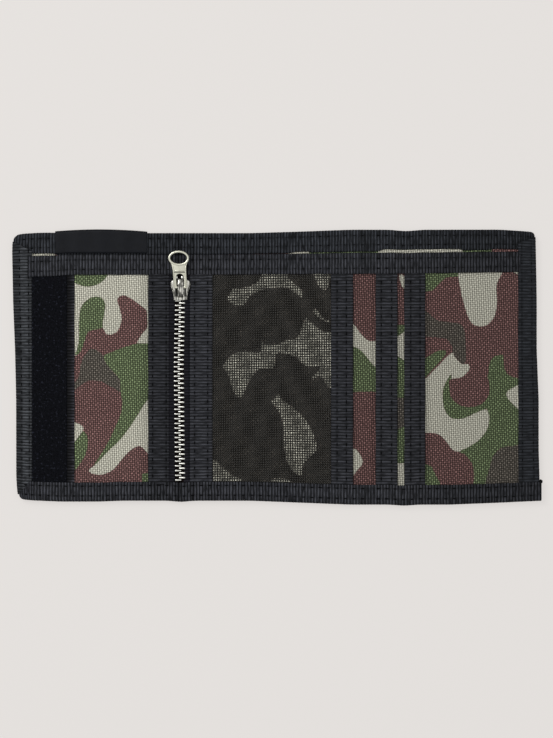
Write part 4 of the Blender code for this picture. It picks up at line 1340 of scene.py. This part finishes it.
def flangeTube(side):
    # the rolled lip down each side: a round bar beside the channel, from shoulder to foot
    shoulder, top, half, foot = (slider[key] for key in ("shoulder", "top", "footHalf", "foot"))
    edge = np.array([(shoulder - 0.55, top - 1.9), (shoulder - 0.5, top - 3.3), (half + 0.1, top - 5.9),
                     (half - 0.42, foot + 0.3)])
    t = np.linspace(0, 3, 13)
    x = np.interp(t, range(4), edge[:, 0]) * side
    y = np.interp(t, range(4), edge[:, 1])
    angle = np.linspace(0, 2 * np.pi, 10, endpoint=False)
    size = slider["lipRadius"] * np.sin(np.linspace(0.35, np.pi - 0.35, 13)) ** 0.35
    across = x[:, None] + size[:, None] * np.cos(angle)
    height = slider["lipHeight"] + size[:, None] * np.sin(angle) * 1.1
    return cappedTube(np.stack([zipLine["centre"] + across, y[:, None] + 0 * across, height], -1))


def moved(loop, x, y=0.0):
    return np.asarray(loop, float) + np.array([x, y])


centre = zipLine["centre"]
archPath = [(40.7, 4.35), (40.85, 5.2), (40.5, 5.95), (39.7, 6.28), (38.0, 6.38), (36.0, 6.36), (34.2, 6.2),
            (32.9, 5.75), (32.2, 5.1), (32.0, 4.35)]
archSection = [(-1.35, -0.12), (-1.1, 0.16), (-0.62, 0.2), (-0.4, 0.02), (0.4, 0.02), (0.62, 0.2),
               (1.1, 0.16), (1.35, -0.12), (1.15, -0.3), (-1.15, -0.3)]
sliderParts = [
    outlineSolid([moved(sliderOutline(), centre)], *slider["plate"], 0.22),
    outlineSolid([moved(sliderOutline(0.1), centre)], *slider["base"], 0.12),
    flangeTube(-1), flangeTube(1),
    sweptBar(archPath[::-1], archSection),
]
sliderPiece = joinMeshes("zip_slider_body", sliderParts, sliderNickel)
nudge(sliderPiece, lambda x, y, z: (x + slider["aside"], y, z))
enrol(sliderPiece, ["zip_slider"], "zip_slider")

pull = {
    "y": 36.8, "z": 5.4, "thick": 0.9,
    # the eye's centre and half sizes, outside and inside; places along the pull and how far it leans
    "eyeOuter": ((0, 13.4), (4.9, 3.6)), "eyeInner": ((0, 13.45), (3.75, 2.45)),
    "lean": ([38, 50.2], [0.6, -0.3]),
}


def pullLoops():
    # the plate's outline up to and round the eye, its arched window and the hole of the eye
    rightSide = [(3.0, -0.5), (3.25, 0.6), (3.15, 4.5), (3.2, 7.4), (3.35, 9.6)]
    leftSide = [(-x, y) for x, y in reversed(rightSide)]
    outer = rightSide + arc(*pull["eyeOuter"], -38, 218, 30).tolist() + leftSide
    window = [(1.75, 0.45), (1.75, 4.3)] + arc((0, 4.6), (1.75, 1.65), 0, 180, 10).tolist()
    window += [(-1.75, 4.3), (-1.75, 0.45)]
    return outer, window, arc(*pull["eyeInner"], 0, 348, 29)


def pullMeshes():
    # the plate with its window and eye, a round lip on the eye, side rails and the ridge
    low, high = pull["z"] - pull["thick"] / 2, pull["z"] + pull["thick"] / 2
    lip = [arc(*pull[key], 0, 356, 44) for key in ("eyeOuter", "eyeInner")]
    rail = [(2.35, 0.0), (2.95, 0.0), (3.0, 4.5), (3.05, 7.4), (3.4, 9.9), (2.9, 10.6), (2.5, 9.2),
            (2.35, 7.4)]
    ridge = [(-2.6, 7.2), (2.6, 7.2), (2.6, 7.75), (-2.6, 7.75)]
    plates = [
        # outlines, lower face, upper face, bevel
        (pullLoops(), low + 0.1, high - 0.12, 0.2),
        (lip, low, high, 0.4),
        ([[(-x, y) for x, y in rail]], low + 0.2, high + 0.02, 0.22),
        ([rail], low + 0.2, high + 0.02, 0.22),
        ([ridge], low + 0.3, high + 0.02, 0.2),
    ]
    place = lambda loops: [moved(loop, centre, pull["y"]) for loop in loops]
    return [outlineSolid(place(loops), *heights) for loops, *heights in plates]


pullPiece = joinMeshes("zip_pull_tag", pullMeshes(), pullNickel)
nudge(pullPiece, lambda x, y, z: (x + np.interp(y, *pull["lean"]), y, z))
enrol(pullPiece, ["zip_pull"], "zip_pull")

stopSize = {"half": (0.62, 0.72, 0.5), "bevel": 0.25}
for side in ("left", "right"):
    low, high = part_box(f"zip_top_stop_{side}")
    spot = (low + high) / 2 / mm
    halfX, halfY, halfZ = stopSize["half"]
    outline = [(-halfX, -halfY), (halfX, -halfY), (halfX, halfY), (-halfX, halfY)]
    body = outlineSolid([moved(outline, spot.x, spot.y)], spot.z - halfZ, spot.z + halfZ, stopSize["bevel"])
    stop = joinMeshes(f"zip_top_stop_{side}_clip", [body], teethNickel)
    enrol(stop, [f"zip_top_stop_{side}"], "left_spine")
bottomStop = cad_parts["zip_bottom_stop"].data.materials
bottomStop.clear()
bottomStop.append(teethNickel)

# the sealed end of the bottom binding
knob = {"place": (122.0, -52.9, 3.3), "size": (0.95, 1.0, 0.6)}


def lumpySphere():
    # radius 1 + 0.2 sin(3 lon) sin(2 lat) times the sizes, each pole closed by one small flat face
    lon, lat = np.meshgrid(np.linspace(0, 2 * np.pi, 24, endpoint=False), np.linspace(-1.45, 1.45, 13))
    r = 1 + 0.2 * np.sin(3 * lon) * np.sin(2 * lat)
    unit = np.stack([np.cos(lat) * np.cos(lon), np.cos(lat) * np.sin(lon), np.sin(lat)], -1) * r[..., None]
    return cappedTube(np.asarray(knob["place"]) + unit * np.asarray(knob["size"]))


knobPiece = joinMeshes("sealed_tape_end_bead", [lumpySphere()], moltenFinish)
spots = np.zeros(len(knobPiece.data.vertices) * 3, np.float32)
knobPiece.data.vertices.foreach_get("co", spots)
mark = knobPiece.data.attributes.new("place", "FLOAT_VECTOR", "POINT")
mark.data.foreach_set("vector", spots / mm)
enrol(knobPiece, body="right_panel")


print("studio")

studio = {
    "distance": 1.5, "aim": (0.0, -0.0009), "fieldHeight": 0.3417, "sensor": 36.0,
    "floorSize": 4.0, "floorGlow": 0.797, "floorColour": srgb(229, 225, 222),
    "worldLow": 0.06, "worldHigh": 1.0,
    "keyPower": 7.0, "keySize": 0.7, "keyPlace": (-0.55, 0.55, 1.1),
}


def makeFloor():
    # a pale sheet that glows evenly and takes only a faint shadow
    size, drop = studio["floorSize"], -0.0004
    mesh = bpy.data.meshes.new("floor")
    corners = [(-size, -size, drop), (size, -size, drop), (size, size, drop), (-size, size, drop)]
    mesh.from_pydata(corners, [], [(0, 1, 2, 3)])
    finish, tree, shader = newFinish("pale_floor", {"Roughness": 0.95, "Specular IOR Level": 0.0})
    shader.inputs["Base Color"].default_value = (0.16, 0.155, 0.15, 1.0)
    shader.inputs["Emission Color"].default_value = studio["floorColour"]
    shader.inputs["Emission Strength"].default_value = studio["floorGlow"]
    mesh.materials.append(finish)
    addObject("floor", mesh)


def makeLight():
    # one soft lamp at the upper left, and a sky that brightens upwards
    lamp = bpy.data.lights.new("key", "AREA")
    lamp.energy = studio["keyPower"]
    lamp.size = studio["keySize"]
    lamp.shape = "DISK"
    key = addObject("key", lamp)
    key.location = studio["keyPlace"]
    key.rotation_euler = (-Vector(studio["keyPlace"])).to_track_quat("-Z", "Y").to_euler()
    world = bpy.data.worlds.new("studio")
    world.use_nodes = True
    bpy.context.scene.world = world
    tree = Wire(world.node_tree)
    up = axis(tree.add("ShaderNodeTexCoord"), 2)
    glow = easeStep(up, 0.15, 0.95) * (studio["worldHigh"] - studio["worldLow"]) + studio["worldLow"]
    background = world.node_tree.nodes["Background"]
    background.inputs["Color"].default_value = (1.0, 0.995, 0.985, 1.0)
    plug(background.inputs["Strength"], glow)


def makeCamera():
    # straight above the wallet; the lens follows from the height of the field at the floor
    data = bpy.data.cameras.new("camera")
    data.sensor_width = studio["sensor"]
    data.lens = studio["sensor"] * studio["distance"] / studio["fieldHeight"]
    data.clip_start = 0.05
    camera = addObject("camera", data)
    camera.location = (*studio["aim"], studio["distance"])
    bpy.context.scene.camera = camera


makeFloor()
makeLight()
makeCamera()
bpy.context.scene.view_settings.view_transform = "Standard"

bpy.context.view_layer.update()
